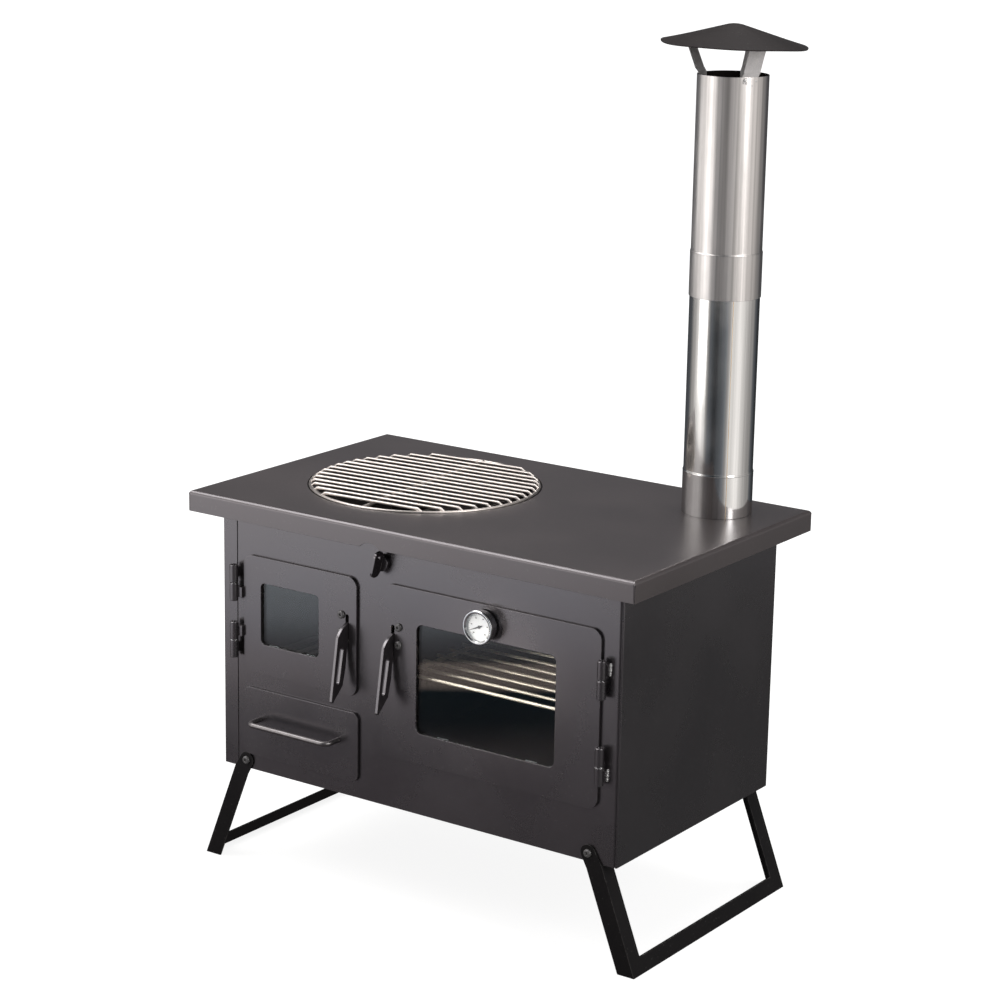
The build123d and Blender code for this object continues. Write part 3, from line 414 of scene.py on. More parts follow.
def bright_steel(name, tone, roughness, stretch, grain=0.15, spread=0.1, metallic=1.0, streaks=0.3):
    """Bare steel with drawn grain and faint smudges."""
    material, tree, shader = new_material(name)
    lines = use_group(tree, "Drawn grain", Stretch=stretch, Strength=grain)
    marks = use_group(tree, "Smudges", Roughness=roughness, Spread=spread)
    dull = [channel * 0.88 for channel in tone]
    fine = mix_colour(tree, lines.outputs["Mask"], dull, tone)
    wide = use_group(tree, "Drawn grain", Stretch=[reach * 0.16 for reach in stretch])
    depth = maths(tree, "MULTIPLY", wide.outputs["Mask"], streaks)
    streaked = mix_colour(tree, depth, fine, [channel * 0.42 for channel in tone])
    # The bore attribute makes a pipe's inside near black and rougher.
    bore = put(tree, "ShaderNodeAttribute", attribute_name="bore").outputs["Fac"]
    colour = mix_colour(tree, bore, streaked, BORE_DARK)
    fix(shader, Base_Color=colour)
    rough = maths(tree, "ADD", marks.outputs["Roughness"], maths(tree, "MULTIPLY", bore, 0.4))
    fix(shader, Roughness=rough, Normal=lines.outputs["Normal"], Metallic=metallic)
    return material


def cast_metal(name, tone, cloud, roughness, grit, metallic):
    """Coarse metal: cast iron, weld beads, sooty plate."""
    material, tree, shader = new_material(name)
    tones = use_group(tree, "Cloudy tone", Tone=rgba(tone), Cloud=rgba(cloud), Roughness=roughness)
    fix(tones, Scale=40.0)
    peel = use_group(tree, "Paint peel", Scale=grit, Strength=0.6)
    fix(shader, Base_Color=tones.outputs["Colour"], Roughness=tones.outputs["Roughness"])
    fix(shader, Normal=peel.outputs["Normal"], Metallic=metallic)
    return material


def window_glass(name, tint, roughness):
    """Clear glass that lets lamp light through, with faint smudges."""
    material, tree, shader = new_material(name)
    marks = use_group(tree, "Smudges", Scale=14.0, Roughness=roughness, Spread=0.02)
    streak = mix_colour(tree, marks.outputs["Mask"], tint, [channel * 0.94 for channel in tint])
    fix(shader, Base_Color=streak, Roughness=marks.outputs["Roughness"])
    fix(shader, Metallic=0.0, Transmission_Weight=1.0, IOR=1.5)
    clear = put(tree, "ShaderNodeBsdfTransparent")
    fix(clear, Color=rgba(tint))
    shadow = put(tree, "ShaderNodeLightPath").outputs["Is Shadow Ray"]
    blend = mix_shader(tree, shadow, shader.outputs[0], clear.outputs[0])
    fix(tree.nodes["Material Output"], Surface=blend)
    return material


def make_materials():
    """Builds the shader groups once, then every finish."""
    for make in (cloud_group, peel_group, rub_and_highlight_group, grain_group, smudge_group, speck_group, bands_group):
        make()
    tone = bpy.context.scene.stove_colours
    top_cloud = [channel * 1.12 for channel in tone.top]
    soot_cloud = [channel * 1.6 for channel in tone.soot]
    round_grain = (60.0, 60.0, 1600.0)
    upright_grain = (1500.0, 1500.0, 10.0)
    even_grain = (700.0, 700.0, 700.0)
    paint("sheet_paint", tone.paint, tone.paint_light, tone.edge_rub_and_highlight, 0.235, 1.0, 0.4, 1.75)
    paint("cooktop_paint", tone.top, top_cloud, tone.edge_rub_and_highlight, 0.3, 0.9, 0.3, 1.7)
    paint("inner_paint", tone.paint, tone.paint_light, tone.edge_rub_and_highlight, 0.6, 0.3, 0.2)
    paint("cap_paint", (0.0105, 0.0082, 0.0076), (0.017, 0.0138, 0.0128), tone.edge_rub_and_highlight, 0.55, 0.2, 0.3)
    paint("leg_paint", (0.007, 0.0066, 0.0068), (0.011, 0.01, 0.01), tone.edge_rub_and_highlight, 0.42, 0.15, 0.4)
    paint("seam_line", (0.008, 0.007, 0.007), (0.014, 0.013, 0.012), tone.edge_rub_and_highlight, 0.6, 0.2, 0.0)
    paint("dark_metal", (0.06, 0.058, 0.057), (0.09, 0.088, 0.085), tone.edge_rub_and_highlight, 0.28, 0.9, 0.8)
    cast_metal("sooty_plate", tone.soot, soot_cloud, 0.7, 500.0, 0.0)
    cast_metal("oven_plate", (0.022, 0.019, 0.018), (0.034, 0.028, 0.025), 0.6, 500.0, 0.0)
    cast_metal("cast_iron", (0.035, 0.032, 0.03), (0.06, 0.055, 0.05), 0.6, 700.0, 0.6)
    cast_metal("weld_metal", (0.45, 0.44, 0.43), (0.7, 0.69, 0.68), 0.3, 900.0, 0.5)
    cast_metal("heat_line", (0.78, 0.58, 0.38), (0.9, 0.76, 0.58), 0.4, 900.0, 0.6)
    bright_steel("mirror_steel", tone.steel, 0.1, upright_grain, 0.05, 0.06)
    bright_steel("satin_steel", (0.8, 0.76, 0.735), 0.33, upright_grain, 0.18, 0.08, streaks=0.75)
    bright_steel("strap_steel", (0.9, 0.86, 0.85), 0.4, even_grain, 0.1, 0.1, 0.0)
    bright_steel("turned_steel", (0.82, 0.82, 0.82), 0.14, round_grain, 0.08, 0.05)
    bright_steel("handle_steel", (0.25, 0.235, 0.235), 0.36, even_grain, 0.1)
    bright_steel("bright_wire", tone.wire, 0.38, even_grain, 0.05, 0.05)
    # The rack's wire is a brighter copy of the bright wire tinted cream; the cream tint is painted warm light
    # on the rods.
    bright_steel("rack_wire", (1.0, 0.84, 0.7), 0.3, even_grain, 0.05, 0.05, 0.8)
    bright_steel("zinc_steel", (0.66, 0.67, 0.68), 0.3, even_grain, 0.15)
    window_glass("window_glass", tone.glass, 0.0)
    window_glass("dial_glass", (0.97, 0.98, 0.98), 0.0)
    paint("dial_face", (0.6, 0.61, 0.62), (0.66, 0.67, 0.68), (0.5, 0.5, 0.5), 0.4, 0.5, 0.0)
    paint("dial_ink", (0.03, 0.03, 0.03), (0.05, 0.05, 0.05), (0.05, 0.05, 0.05), 0.5, 0.3, 0.0)


def add_object(name, data):
    """Adds an object to the scene."""
    item = bpy.data.objects.new(name, data)
    bpy.context.scene.collection.objects.link(item)
    return item


# Mesh helpers

def settle(name, work, body, finish, nodes=()):
    """Turns a bmesh into a finished piece that rides on a body and stands for CAD nodes."""
    mesh = bpy.data.meshes.new(name)
    work.to_mesh(mesh)
    work.free()
    mesh.polygons.foreach_set("use_smooth", [True] * len(mesh.polygons))
    mesh.set_sharp_from_angle(angle=CREASE)
    mesh.materials.append(bpy.data.materials[finish + "_finish"])
    piece = add_object(name, mesh)
    even = piece.modifiers.new("Even shading", "WEIGHTED_NORMAL")
    even.keep_sharp = True
    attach(piece, body)
    if nodes:
        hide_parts(*nodes)
    return piece


def merged_copy(node):
    """A bmesh of a CAD node with its loose triangles merged and its flat faces joined."""
    work = bmesh.new()
    work.from_mesh(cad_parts[node].data)
    bmesh.ops.remove_doubles(work, verts=work.verts, dist=MERGE)
    bmesh.ops.dissolve_limit(work, angle_limit=FLAT, verts=work.verts, edges=work.edges)
    return work


def round_edges(work, width):
    """Bevels every sharp edge and marks the new faces for the lighter edge colour, partly rubbed paint and
    partly a painted highlight.
    """
    sharp = [edge for edge in work.edges if edge.is_manifold and edge.calc_face_angle(0.0) > CREASE]
    edge_rub_and_highlight = work.faces.layers.float.new("edge_rub_and_highlight")
    if not sharp:
        return
    made = bmesh.ops.bevel(
        work,
        geom=sharp,
        offset=width,
        offset_type="OFFSET",
        segments=2,
        profile=0.5,
        affect="EDGES",
        clamp_overlap=False,
        material=-1,
    )
    for face in made["faces"]:
        face[edge_rub_and_highlight] = 1.0


def finished(node, body, finish, width):
    """A node's own shape with soft edges, as a piece that stands for it."""
    work = merged_copy(node)
    round_edges(work, width)
    return settle(node + "_finished", work, body, finish, [node])


def spun(profile, centre, steps, axis=(0, 0, 1)):
    """Spins a closed profile of radius and height about an axis through a point."""
    work = bmesh.new()
    turn = Vector((0, 0, 1)).rotation_difference(Vector(axis)).to_matrix().to_4x4()
    place = Matrix.Translation(centre) @ turn
    points = [work.verts.new((radius, 0, height)) for radius, height in profile]
    edges = [work.edges.new((a, b)) for a, b in zip(points, points[1:] + points[:1])]
    bmesh.ops.spin(
        work,
        geom=points + edges,
        cent=(0, 0, 0),
        axis=(0, 0, 1),
        angle=CIRCLE,
        steps=steps,
        use_merge=True,
    )
    bmesh.ops.remove_doubles(work, verts=work.verts, dist=MERGE)
    bmesh.ops.transform(work, matrix=place, verts=work.verts)
    bmesh.ops.recalc_face_normals(work, faces=work.faces)
    return work


def tube(work, path, radius, sides, closed=False):
    """Adds a round rod along points: a ring of vertices is extruded from point to point."""
    count = len(path)
    rings = []
    for place in range(count):
        before = path[place - 1] if place or closed else path[0]
        after = path[(place + 1) % count] if place < count - 1 or closed else path[-1]
        run = (Vector(after) - Vector(before)).normalized()
        turn = Vector((0, 0, 1)).rotation_difference(run).to_matrix().to_4x4()
        if not rings:
            last_turn = turn
        else:
            step = last_run.rotation_difference(run).to_matrix().to_4x4()
            turn = step @ last_turn
        last_turn, last_run = turn, run
        matrix = Matrix.Translation(path[place]) @ turn
        ring = bmesh.ops.create_circle(work, cap_ends=False, radius=radius, segments=sides, matrix=matrix)
        rings.append(ring["verts"])
    pairs = list(zip(rings, rings[1:])) + ([(rings[-1], rings[0])] if closed else [])
    for low, high in pairs:
        edges = {edge for vert in low + high for edge in vert.link_edges}
        ring_edges = [e for e in edges if all(v in low for v in e.verts) or all(v in high for v in e.verts)]
        bmesh.ops.bridge_loops(work, edges=ring_edges)
    if not closed:
        for ring in (rings[0], rings[-1]):
            work.faces.new(ring)
    return rings


def bent(points, radius, steps):
    """Points with each inner corner turned into an arc."""
    path = [Vector(points[0])]
    for before, corner, after in zip(points, points[1:], points[2:]):
        a, b, c = Vector(before), Vector(corner), Vector(after)
        into, out = (a - b).normalized(), (c - b).normalized()
        half = into.angle(out) / 2
        reach = min(radius / math.tan(half), (a - b).length * 0.49, (c - b).length * 0.49)
        size = reach * math.tan(half)
        centre = b + (into + out).normalized() * (size / math.sin(half))
        start, end = b + into * reach - centre, b + out * reach - centre
        sweep = start.rotation_difference(end)
        for step in range(steps + 1):
            part = Vector(start)
            part.rotate(sweep.slerp(sweep.__class__(), 1 - step / steps))
            path.append(centre + part)
    path.append(Vector(points[-1]))
    return path


def closed_normals(work):
    """Joins doubled vertices and turns every face outward."""
    bmesh.ops.remove_doubles(work, verts=work.verts, dist=MERGE)
    bmesh.ops.recalc_face_normals(work, faces=work.faces)


def bead(work, start, end, radius, lumps):
    """A weld bead: overlapping lumps that vary in size, from one point to another."""
    a, b = Vector(start), Vector(end)
    for lump in range(lumps):
        share = (lump + 0.5) / lumps
        swell = 1.0 + 0.22 * math.sin(lump * 2.4) - 0.3 * abs(share - 0.5)
        place = Matrix.Translation(a.lerp(b, share)) @ Matrix.Diagonal((swell, swell, swell, 1.0))
        bmesh.ops.create_icosphere(work, subdivisions=2, radius=radius, matrix=place)


# Operators, one for each group of like pieces

class STOVE_OT_cabinet(bpy.types.Operator):
    """Finish the cooktop, the cabinet's panels and the partition"""

    bl_idname = "stove.cabinet"
    bl_label = "Cabinet and cooktop"

    def execute(self, context):
        edge = context.scene.stove_sizes.edge
        finished("cooktop", "stove", "cooktop_paint", edge)
        for node in ("side_panel_left", "side_panel_right", "front_panel", "back_panel", "bottom_panel"):
            finished(node, "stove", "sheet_paint", edge)
        low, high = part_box("cooktop")
        inset, drop = 1.6 * MM, 1.5 * MM
        shape = Matrix.Diagonal((0.5 * MM, 0.16 * MM, high.z - low.z - 4 * MM, 1))
        work = bmesh.new()
        for x, y in ((low.x, low.y), (high.x, low.y), (low.x, high.y), (high.x, high.y)):
            seam_x = x - inset if x > 0 else x + inset
            spot = Matrix.Translation((seam_x, y, (low.z + high.z) / 2 - drop))
            bmesh.ops.create_cube(work, size=1.0, matrix=spot @ shape)
        settle("lip_corner_seams", work, "stove", "seam_line")
        finished("pot_ledge_ring", "stove", "inner_paint", edge)
        finished("centre_partition", "stove", "sooty_plate", edge)
        return {"FINISHED"}


class STOVE_OT_firebox(bpy.types.Operator):
    """Finish the liner, the ledges and the slotted grate"""

    bl_idname = "stove.firebox"
    bl_label = "Firebox"

    def execute(self, context):
        edge = context.scene.stove_sizes.edge
        for node in ("firebox_liner", "grate_ledges"):
            finished(node, "stove", "sooty_plate", edge)
        finished("fire_grate", "stove", "cast_iron", edge)
        return {"FINISHED"}


class STOVE_OT_ash_drawer(bpy.types.Operator):
    """Finish the drawer front and tray and bend its rod handle"""

    bl_idname = "stove.ash_drawer"
    bl_label = "Ash drawer"

    def execute(self, context):
        edge = context.scene.stove_sizes.edge
        finished("ash_drawer_front", "ash_drawer", "sheet_paint", edge)
        finished("ash_drawer_tray", "ash_drawer", "inner_paint", edge)
        finished("drawer_rails", "stove", "inner_paint", edge)
        low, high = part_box("ash_drawer_handle")
        rod = (high.z - low.z) / 2
        height = (high.z + low.z) / 2
        left, right, out = low.x + rod, high.x - rod, low.y + rod
        points = [(left, high.y, height), (left, out, height), (right, out, height), (right, high.y, height)]
        work = bmesh.new()
        tube(work, bent(points, 8.0 * MM, 10), rod, 24)
        foot = high.y - 0.3 * MM
        for x in (left, right):
            bead(work, (x - rod * 0.7, foot, height), (x + rod * 0.7, foot, height), rod * 0.9, 3)
        closed_normals(work)
        settle("drawer_handle_rod", work, "ash_drawer", "handle_steel", ["ash_drawer_handle"])
        return {"FINISHED"}


class STOVE_OT_doors(bpy.types.Operator):
    """Finish both door plates, their glass and what holds it"""

    bl_idname = "stove.doors"
    bl_label = "Doors and windows"

    def execute(self, context):
        sizes = context.scene.stove_sizes
        for door in ("fire", "oven"):
            body = door + "_door_body"
            finished(door + "_door", body, "sheet_paint", sizes.edge)
            finished(door + "_glass", body, "window_glass", sizes.edge)
            for part in ("_glass_clips", "_glass_nuts"):
                finished(door + part, body, "zinc_steel", sizes.thin_edge)
        return {"FINISHED"}


class STOVE_OT_hinges(bpy.types.Operator):
    """Turn the hinge barrels, their pins and washers, and lay the weld beads"""

    bl_idname = "stove.hinges"
    bl_label = "Hinges"

    def execute(self, context):
        sizes = context.scene.stove_sizes
        for node, body in (
            ("frame_knuckles", "stove"),
            ("fire_door_knuckles", "fire_door_body"),
            ("oven_door_knuckles", "oven_door_body"),
        ):
            finished(node, body, "sheet_paint", sizes.thin_edge)
        for node in ("hinge_pins", "hinge_washers"):
            finished(node, "stove", "turned_steel", sizes.thin_edge)
        self.welds("fire_door", 1, sizes.weld)
        self.welds("oven_door", -1, sizes.weld)
        return {"FINISHED"}

    def welds(self, door, inward, size):
        """Beads beside each hung knuckle on the door and each fixed one on the front panel."""
        low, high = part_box(door + "_knuckles")
        door_face = along(door, 1)[0]
        panel_face = along("front_panel", 1)[0]
        near, far = along("hinge_washers", 1)
        barrel = (far - near) / 2
        split = 21.6 * MM
        axis_x = low.x + barrel if inward > 0 else high.x - barrel
        reach = inward * barrel * 1.05
        hung = (low.z + split / 2, high.z - split / 2)
        fixed = (high.z + split / 2, low.z - split / 2)
        work = self.row(hung, axis_x + reach, inward * 1.2 * MM, door_face - 0.2 * MM, (3.5, 5), size, 5)
        settle(door + "_weld_beads", work, door + "_body", "weld_metal")
        work = self.row(fixed, axis_x - reach, -inward * 0.8 * MM, panel_face - 0.6 * MM, (7, 7), size, 8)
        settle(door.split("_")[0] + "_frame_weld_beads", work, "stove", "weld_metal")

    def row(self, heights, x, aside, face, spans, size, lumps):
        """A bead at each height, reaching some millimetres below and above it and leaning aside and out."""
        lean_out = 0.3 * MM
        below, above = spans
        work = bmesh.new()
        for height in heights:
            start = (x, face, height - below * MM)
            end = (x + aside, face - lean_out, height + above * MM)
            bead(work, start, end, size, lumps)
        return work


class STOVE_OT_latches(bpy.types.Operator):
    """Finish the latch handles, brackets, pins, screws and keepers"""

    bl_idname = "stove.latches"
    bl_label = "Latches"

    def execute(self, context):
        sizes = context.scene.stove_sizes
        for door in ("fire", "oven"):
            body = door + "_door_body"
            finished(door + "_latch_handle", door + "_latch", "sheet_paint", sizes.edge)
            finished(door + "_latch_bracket", body, "inner_paint", sizes.thin_edge)
            finished(door + "_latch_pin", body, "zinc_steel", sizes.thin_edge)
            finished(door + "_latch_screws", body, "dark_metal", sizes.thin_edge)
        finished("latch_keepers", "stove", "inner_paint", sizes.thin_edge)
        return {"FINISHED"}


class STOVE_OT_oven(bpy.types.Operator):
    """Finish the oven box and its rails and weld the wire rack"""

    bl_idname = "stove.oven"
    bl_label = "Oven and rack"

    def execute(self, context):
        sizes = context.scene.stove_sizes
        finished("oven_box", "stove", "oven_plate", sizes.edge)
        finished("rack_rails", "stove", "inner_paint", sizes.thin_edge)
        low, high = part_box("oven_rack")
        rod, bar = 2.0 * MM, 2.5 * MM
        pitch = 24.8 * MM
        overhang = 5.0 * MM
        front = low.y + overhang
        count = round((high.y - overhang - front) / pitch) + 1
        work = bmesh.new()
        for place in range(count):
            y = front + place * pitch
            tube(work, [(low.x, y, high.z - rod), (high.x, y, high.z - rod)], rod, sizes.wire_sides)
        for x in (low.x + overhang, high.x - overhang):
            tube(work, [(x, low.y, low.z + bar), (x, high.y, low.z + bar)], bar, sizes.wire_sides)
        closed_normals(work)
        settle("oven_wire_rack", work, "stove", "rack_wire", ["oven_rack"])
        return {"FINISHED"}


class STOVE_OT_pot_grate(bpy.types.Operator):
    """Bend and weld the loose wire grate in the pot hole"""

    bl_idname = "stove.pot_grate"
    bl_label = "Pot grate"

    rods: number("Rods", "Rods across the ring", 16, 4, 40)
    pitch: length("Pitch", "Space between rods", 15.1 * MM)
    turn: angle("Turn", "How far the grate lies turned", 4.2)

    def execute(self, context):
        sides = context.scene.stove_sizes.wire_sides
        low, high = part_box("grill_grate")
        wire = 2.0 * MM
        centre = Vector(((low.x + high.x) / 2, (low.y + high.y) / 2, low.z + wire))
        ring = (high.x - low.x) / 2 - wire
        raised = high.z - low.z - 2 * wire
        work = bmesh.new()
        steps = 96
        turns = [CIRCLE * place / steps for place in range(steps)]
        circle = [(ring * math.cos(turn), ring * math.sin(turn), 0) for turn in turns]
        tube(work, circle, wire, sides, closed=True)
        tube(work, [(0, -ring, 0), (0, ring, 0)], wire, sides)
        for place in range(self.rods):
            offset = (place - (self.rods - 1) / 2) * self.pitch
            half = math.sqrt(ring**2 - offset**2)
            flat = half - 5.5 * MM
            points = [(-half, offset, 0), (-flat, offset, raised), (flat, offset, raised), (half, offset, 0)]
            tube(work, bent(points, 5.0 * MM, 5), wire, sides)
        closed_normals(work)
        place = Matrix.Translation(centre) @ Matrix.Rotation(self.turn, 4, "Z")
        bmesh.ops.transform(work, matrix=place, verts=work.verts)
        settle("pot_wire_grate", work, "grill", "bright_wire", ["grill_grate"])
        return {"FINISHED"}


class STOVE_OT_damper(bpy.types.Operator):
    """Finish the damper's knob, shaft and flap"""

    bl_idname = "stove.damper"
    bl_label = "Damper"

    def execute(self, context):
        sizes = context.scene.stove_sizes
        finished("damper_knob", "damper", "sheet_paint", sizes.edge)
        finished("damper_shaft", "damper", "zinc_steel", sizes.thin_edge)
        finished("damper_flap", "damper", "sooty_plate", sizes.edge)
        return {"FINISHED"}


class STOVE_OT_thermometer(bpy.types.Operator):
    """Turn the thermometer's case and lens, and mark its dial"""

    bl_idname = "stove.thermometer"
    bl_label = "Thermometer"

    marks: number("Marks", "Small marks round the dial", 26, 8, 80)
    sweep: angle("Sweep", "The arc that the marks cover", 270)

    def execute(self, context):
        body = "oven_door_body"
        finished("thermometer_case", body, "turned_steel", 0.15 * MM)
        finished("thermometer_nut", body, "zinc_steel", context.scene.stove_sizes.thin_edge)
        finished("thermometer_pointer", "pointer", "dial_ink", 0.05 * MM)
        low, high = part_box("thermometer_dial")
        centre = (low + high) / 2
        radius = (high.x - low.x) / 2
        face = low.y
        thick = 0.6 * MM
        bore = 0.9 * MM
        profile = [(bore, 0), (radius, 0), (radius, thick), (bore, thick)]
        dial = spun(profile, (centre.x, face, centre.z), 96, (0, 1, 0))
        settle("dial_plate", dial, body, "dial_face", ["thermometer_dial"])
        ink_thick = 0.1 * MM
        margin, dot_in = 1.6 * MM, 5.6 * MM
        ink = Vector((centre.x, face - 0.06 * MM, centre.z))
        work = bmesh.new()
        for place in range(self.marks):
            turn = -math.pi / 2 + (CIRCLE - self.sweep) / 2 + self.sweep * place / (self.marks - 1)
            way = Vector((math.cos(turn), 0, math.sin(turn)))
            long_mark = place % 5 == 0
            size = (1.9 if long_mark else 1.1) * MM
            spot = Matrix.Translation(ink + way * (radius - margin - size / 2))
            lean = Matrix.Rotation(-turn, 4, "Y")
            shape = Matrix.Diagonal((size, ink_thick, (0.42 if long_mark else 0.3) * MM, 1))
            bmesh.ops.create_cube(work, size=1.0, matrix=spot @ lean @ shape)
            if long_mark:
                dot = Matrix.Translation(ink + way * (radius - dot_in))
                shape = Matrix.Diagonal((1.7 * MM, ink_thick, 1.2 * MM, 1))
                bmesh.ops.create_cube(work, size=1.0, matrix=dot @ shape)
        settle("dial_marks", work, body, "dial_ink")
        finished("thermometer_glass", body, "dial_glass", 0.1 * MM)
        return {"FINISHED"}


class STOVE_OT_legs(bpy.types.Operator):
    """Finish the two folding leg frames, their bolts and nuts"""

    bl_idname = "stove.legs"
    bl_label = "Folding legs"

    def execute(self, context):
        sizes = context.scene.stove_sizes
        for leg in ("left_leg", "right_leg"):
            finished(leg, leg + "_body", "leg_paint", sizes.edge)
        finished("leg_bolts", "stove", "dark_metal", sizes.thin_edge)
        finished("leg_nuts", "stove", "zinc_steel", sizes.thin_edge)
        return {"FINISHED"}


class STOVE_OT_flue(bpy.types.Operator):
    """Roll the two flue pipes with their swaged sockets and seams"""

    bl_idname = "stove.flue"
    bl_label = "Flue pipes"

    wall: length("Wall", "Pipe wall", 0.8 * MM)
    seam: length("Seam", "Width of the welded seam", 1.7 * MM)
    seam_turn: angle("Seam turn", "Where the seam lies", -45)

    def execute(self, context):
        sizes = context.scene.stove_sizes
        self.pipe("flue_pipe_lower", "flue_lower", "mirror_steel", 38.75 * MM, 50 * MM, sizes)
        self.pipe("flue_pipe_upper", "flue_upper", "satin_steel", UPPER_PIPE, 51 * MM, sizes)
        finished("flue_collar", "stove", "sheet_paint", sizes.thin_edge)
        return {"FINISHED"}

    def pipe(self, node, body, finish, radius, socket, sizes):
        """One pipe: a wider socket at the foot, a swage and a plain run, with its outer wall and its bore."""
        axis = flue_axis()
        low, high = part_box(node)
        wide = (high.x - low.x) / 2
        wall = self.wall
        step = 2.0 * MM
        trim, rim = 0.15 * MM, 0.3 * MM
        swage = wide + 0.13 * MM
        lift = low.z + socket
        outer = [
            (wide - trim, low.z),
            (wide, low.z + rim),
            (wide, lift - step * 1.5),
            (swage, lift - step * 1.3),
            (swage, lift - step),
            (wide - 0.05 * MM, lift - step * 0.75),
            ((wide + radius) / 2, lift - step / 2),
            (radius + 0.12 * MM, lift - step * 0.25),
            (radius, lift),
            (radius, high.z - rim),
            (radius - trim, high.z),
        ]
        inner = [(r - wall + 0.02 * MM, z) for r, z in reversed(outer)]
        inner[0] = (radius - wall + trim, high.z)
        inner[-1] = (wide - wall + trim, low.z)
        work = spun(outer + inner, axis, sizes.pipe_steps)
        bore = work.faces.layers.float.new("bore")
        for face in work.faces:
            out = face.calc_center_median() - axis
            out.z = 0
            face[bore] = 1.0 if face.normal.dot(out) < -0.5 * out.length else 0.0
        settle(node + "_rolled", work, body, finish, [node])
        work = bmesh.new()
        turn = self.seam_turn if body == "flue_lower" else self.seam_turn + 2.2
        side = Vector((math.cos(turn), math.sin(turn), 0))
        path = [axis + side * (r - self.seam / 2 + 0.12 * MM) + Vector((0, 0, z)) for r, z in outer[1:-1]]
        tube(work, path, self.seam / 2, 12)
        closed_normals(work)
        settle(node + "_seam", work, body, "heat_line")


class STOVE_OT_rain_cap(bpy.types.Operator):
    """Spin the rain cap and finish its straps"""

    bl_idname = "stove.rain_cap"
    bl_label = "Rain cap"

    rim: length("Rim radius", "Radius of the cap", 79.2 * MM)
    rise: length("Rise", "Height of the cone without its rounded nose", 23.0 * MM)
    nose: length("Nose radius", "Where the rounded nose begins", 10.0 * MM)
    sheet: length("Sheet", "Thickness of the cap", 1.0 * MM)
    tilt: angle("Tilt", "How far the cap leans", 1.7)
    tilt_to: angle("Tilt towards", "The way the cap leans", 34.8)

    def execute(self, context):
        sizes = context.scene.stove_sizes
        axis = flue_axis()
        slope = math.atan2(self.rise, self.rim)
        ball = self.nose / math.sin(slope)
        nose_z = (self.rim - self.nose) * math.tan(slope)
        ball_z = nose_z - ball * math.cos(slope)
        outer = [(self.rim, 0)]
        runs = 44
        for place in range(1, runs + 1):
            share = place / runs
            outer.append((self.rim + (self.nose - self.rim) * share, nose_z * share))
        turns = 6
        for place in range(turns - 1, -1, -1):
            lean = slope * place / turns
            outer.append((ball * math.sin(lean), ball_z + ball * math.cos(lean)))
        inner = []
        for place, (radius, height) in enumerate(outer):
            lean = math.asin(min(1.0, radius / ball)) if place > runs else slope
            across, down = self.sheet * math.sin(lean), self.sheet * math.cos(lean)
            inner.append((max(0.0, radius - across), height - down))
        base = along("rain_cap", 2)[1] - (ball_z + ball)
        work = spun(outer + inner[::-1], (0, 0, 0), sizes.pipe_steps)
        for vert in work.verts:
            reach = math.hypot(vert.co.x, vert.co.y)
            turn = math.atan2(vert.co.y, vert.co.x)
            share = max(0.0, (reach / self.rim - 0.55) / 0.45)
            wave = math.sin(3 * turn + 0.9) + 0.6 * math.sin(5 * turn)
            vert.co.z -= RIM_WAVE * share * share * wave
            for dent_turn, dent_reach, size in DENTS:
                x, y = dent_reach * math.cos(dent_turn), dent_reach * math.sin(dent_turn)
                gap = math.hypot(vert.co.x - x, vert.co.y - y)
                vert.co.z -= DENT_DEPTH * math.exp(-((gap / size) ** 2))
        towards = Matrix.Rotation(self.tilt_to, 4, "Z")
        lean = towards @ Matrix.Rotation(self.tilt, 4, "Y") @ towards.inverted()
        place = Matrix.Translation(axis + Vector((0, 0, base))) @ lean
        bmesh.ops.transform(work, matrix=place, verts=work.verts)
        settle("rain_cap_spun", work, "flue_upper", "cap_paint", ["rain_cap"])
        finished("cap_straps", "flue_upper", "strap_steel", sizes.thin_edge)
        rim = along("flue_pipe_upper", 2)[1]
        work = bmesh.new()
        for strap in STRAP_TURNS:
            for aside, drop, size in STRAP_WELDS:
                turn = Matrix.Rotation(math.radians(strap + aside), 4, "Z")
                spot = axis + turn @ Vector((UPPER_PIPE, 0, rim - drop * MM))
                place = Matrix.Translation(spot) @ turn @ Matrix.Diagonal((0.3, 1, 1, 1))
                bmesh.ops.create_icosphere(work, subdivisions=2, radius=size * MM, matrix=place)
        closed_normals(work)
        settle("strap_spot_welds", work, "flue_upper", "weld_metal")
        return {"FINISHED"}


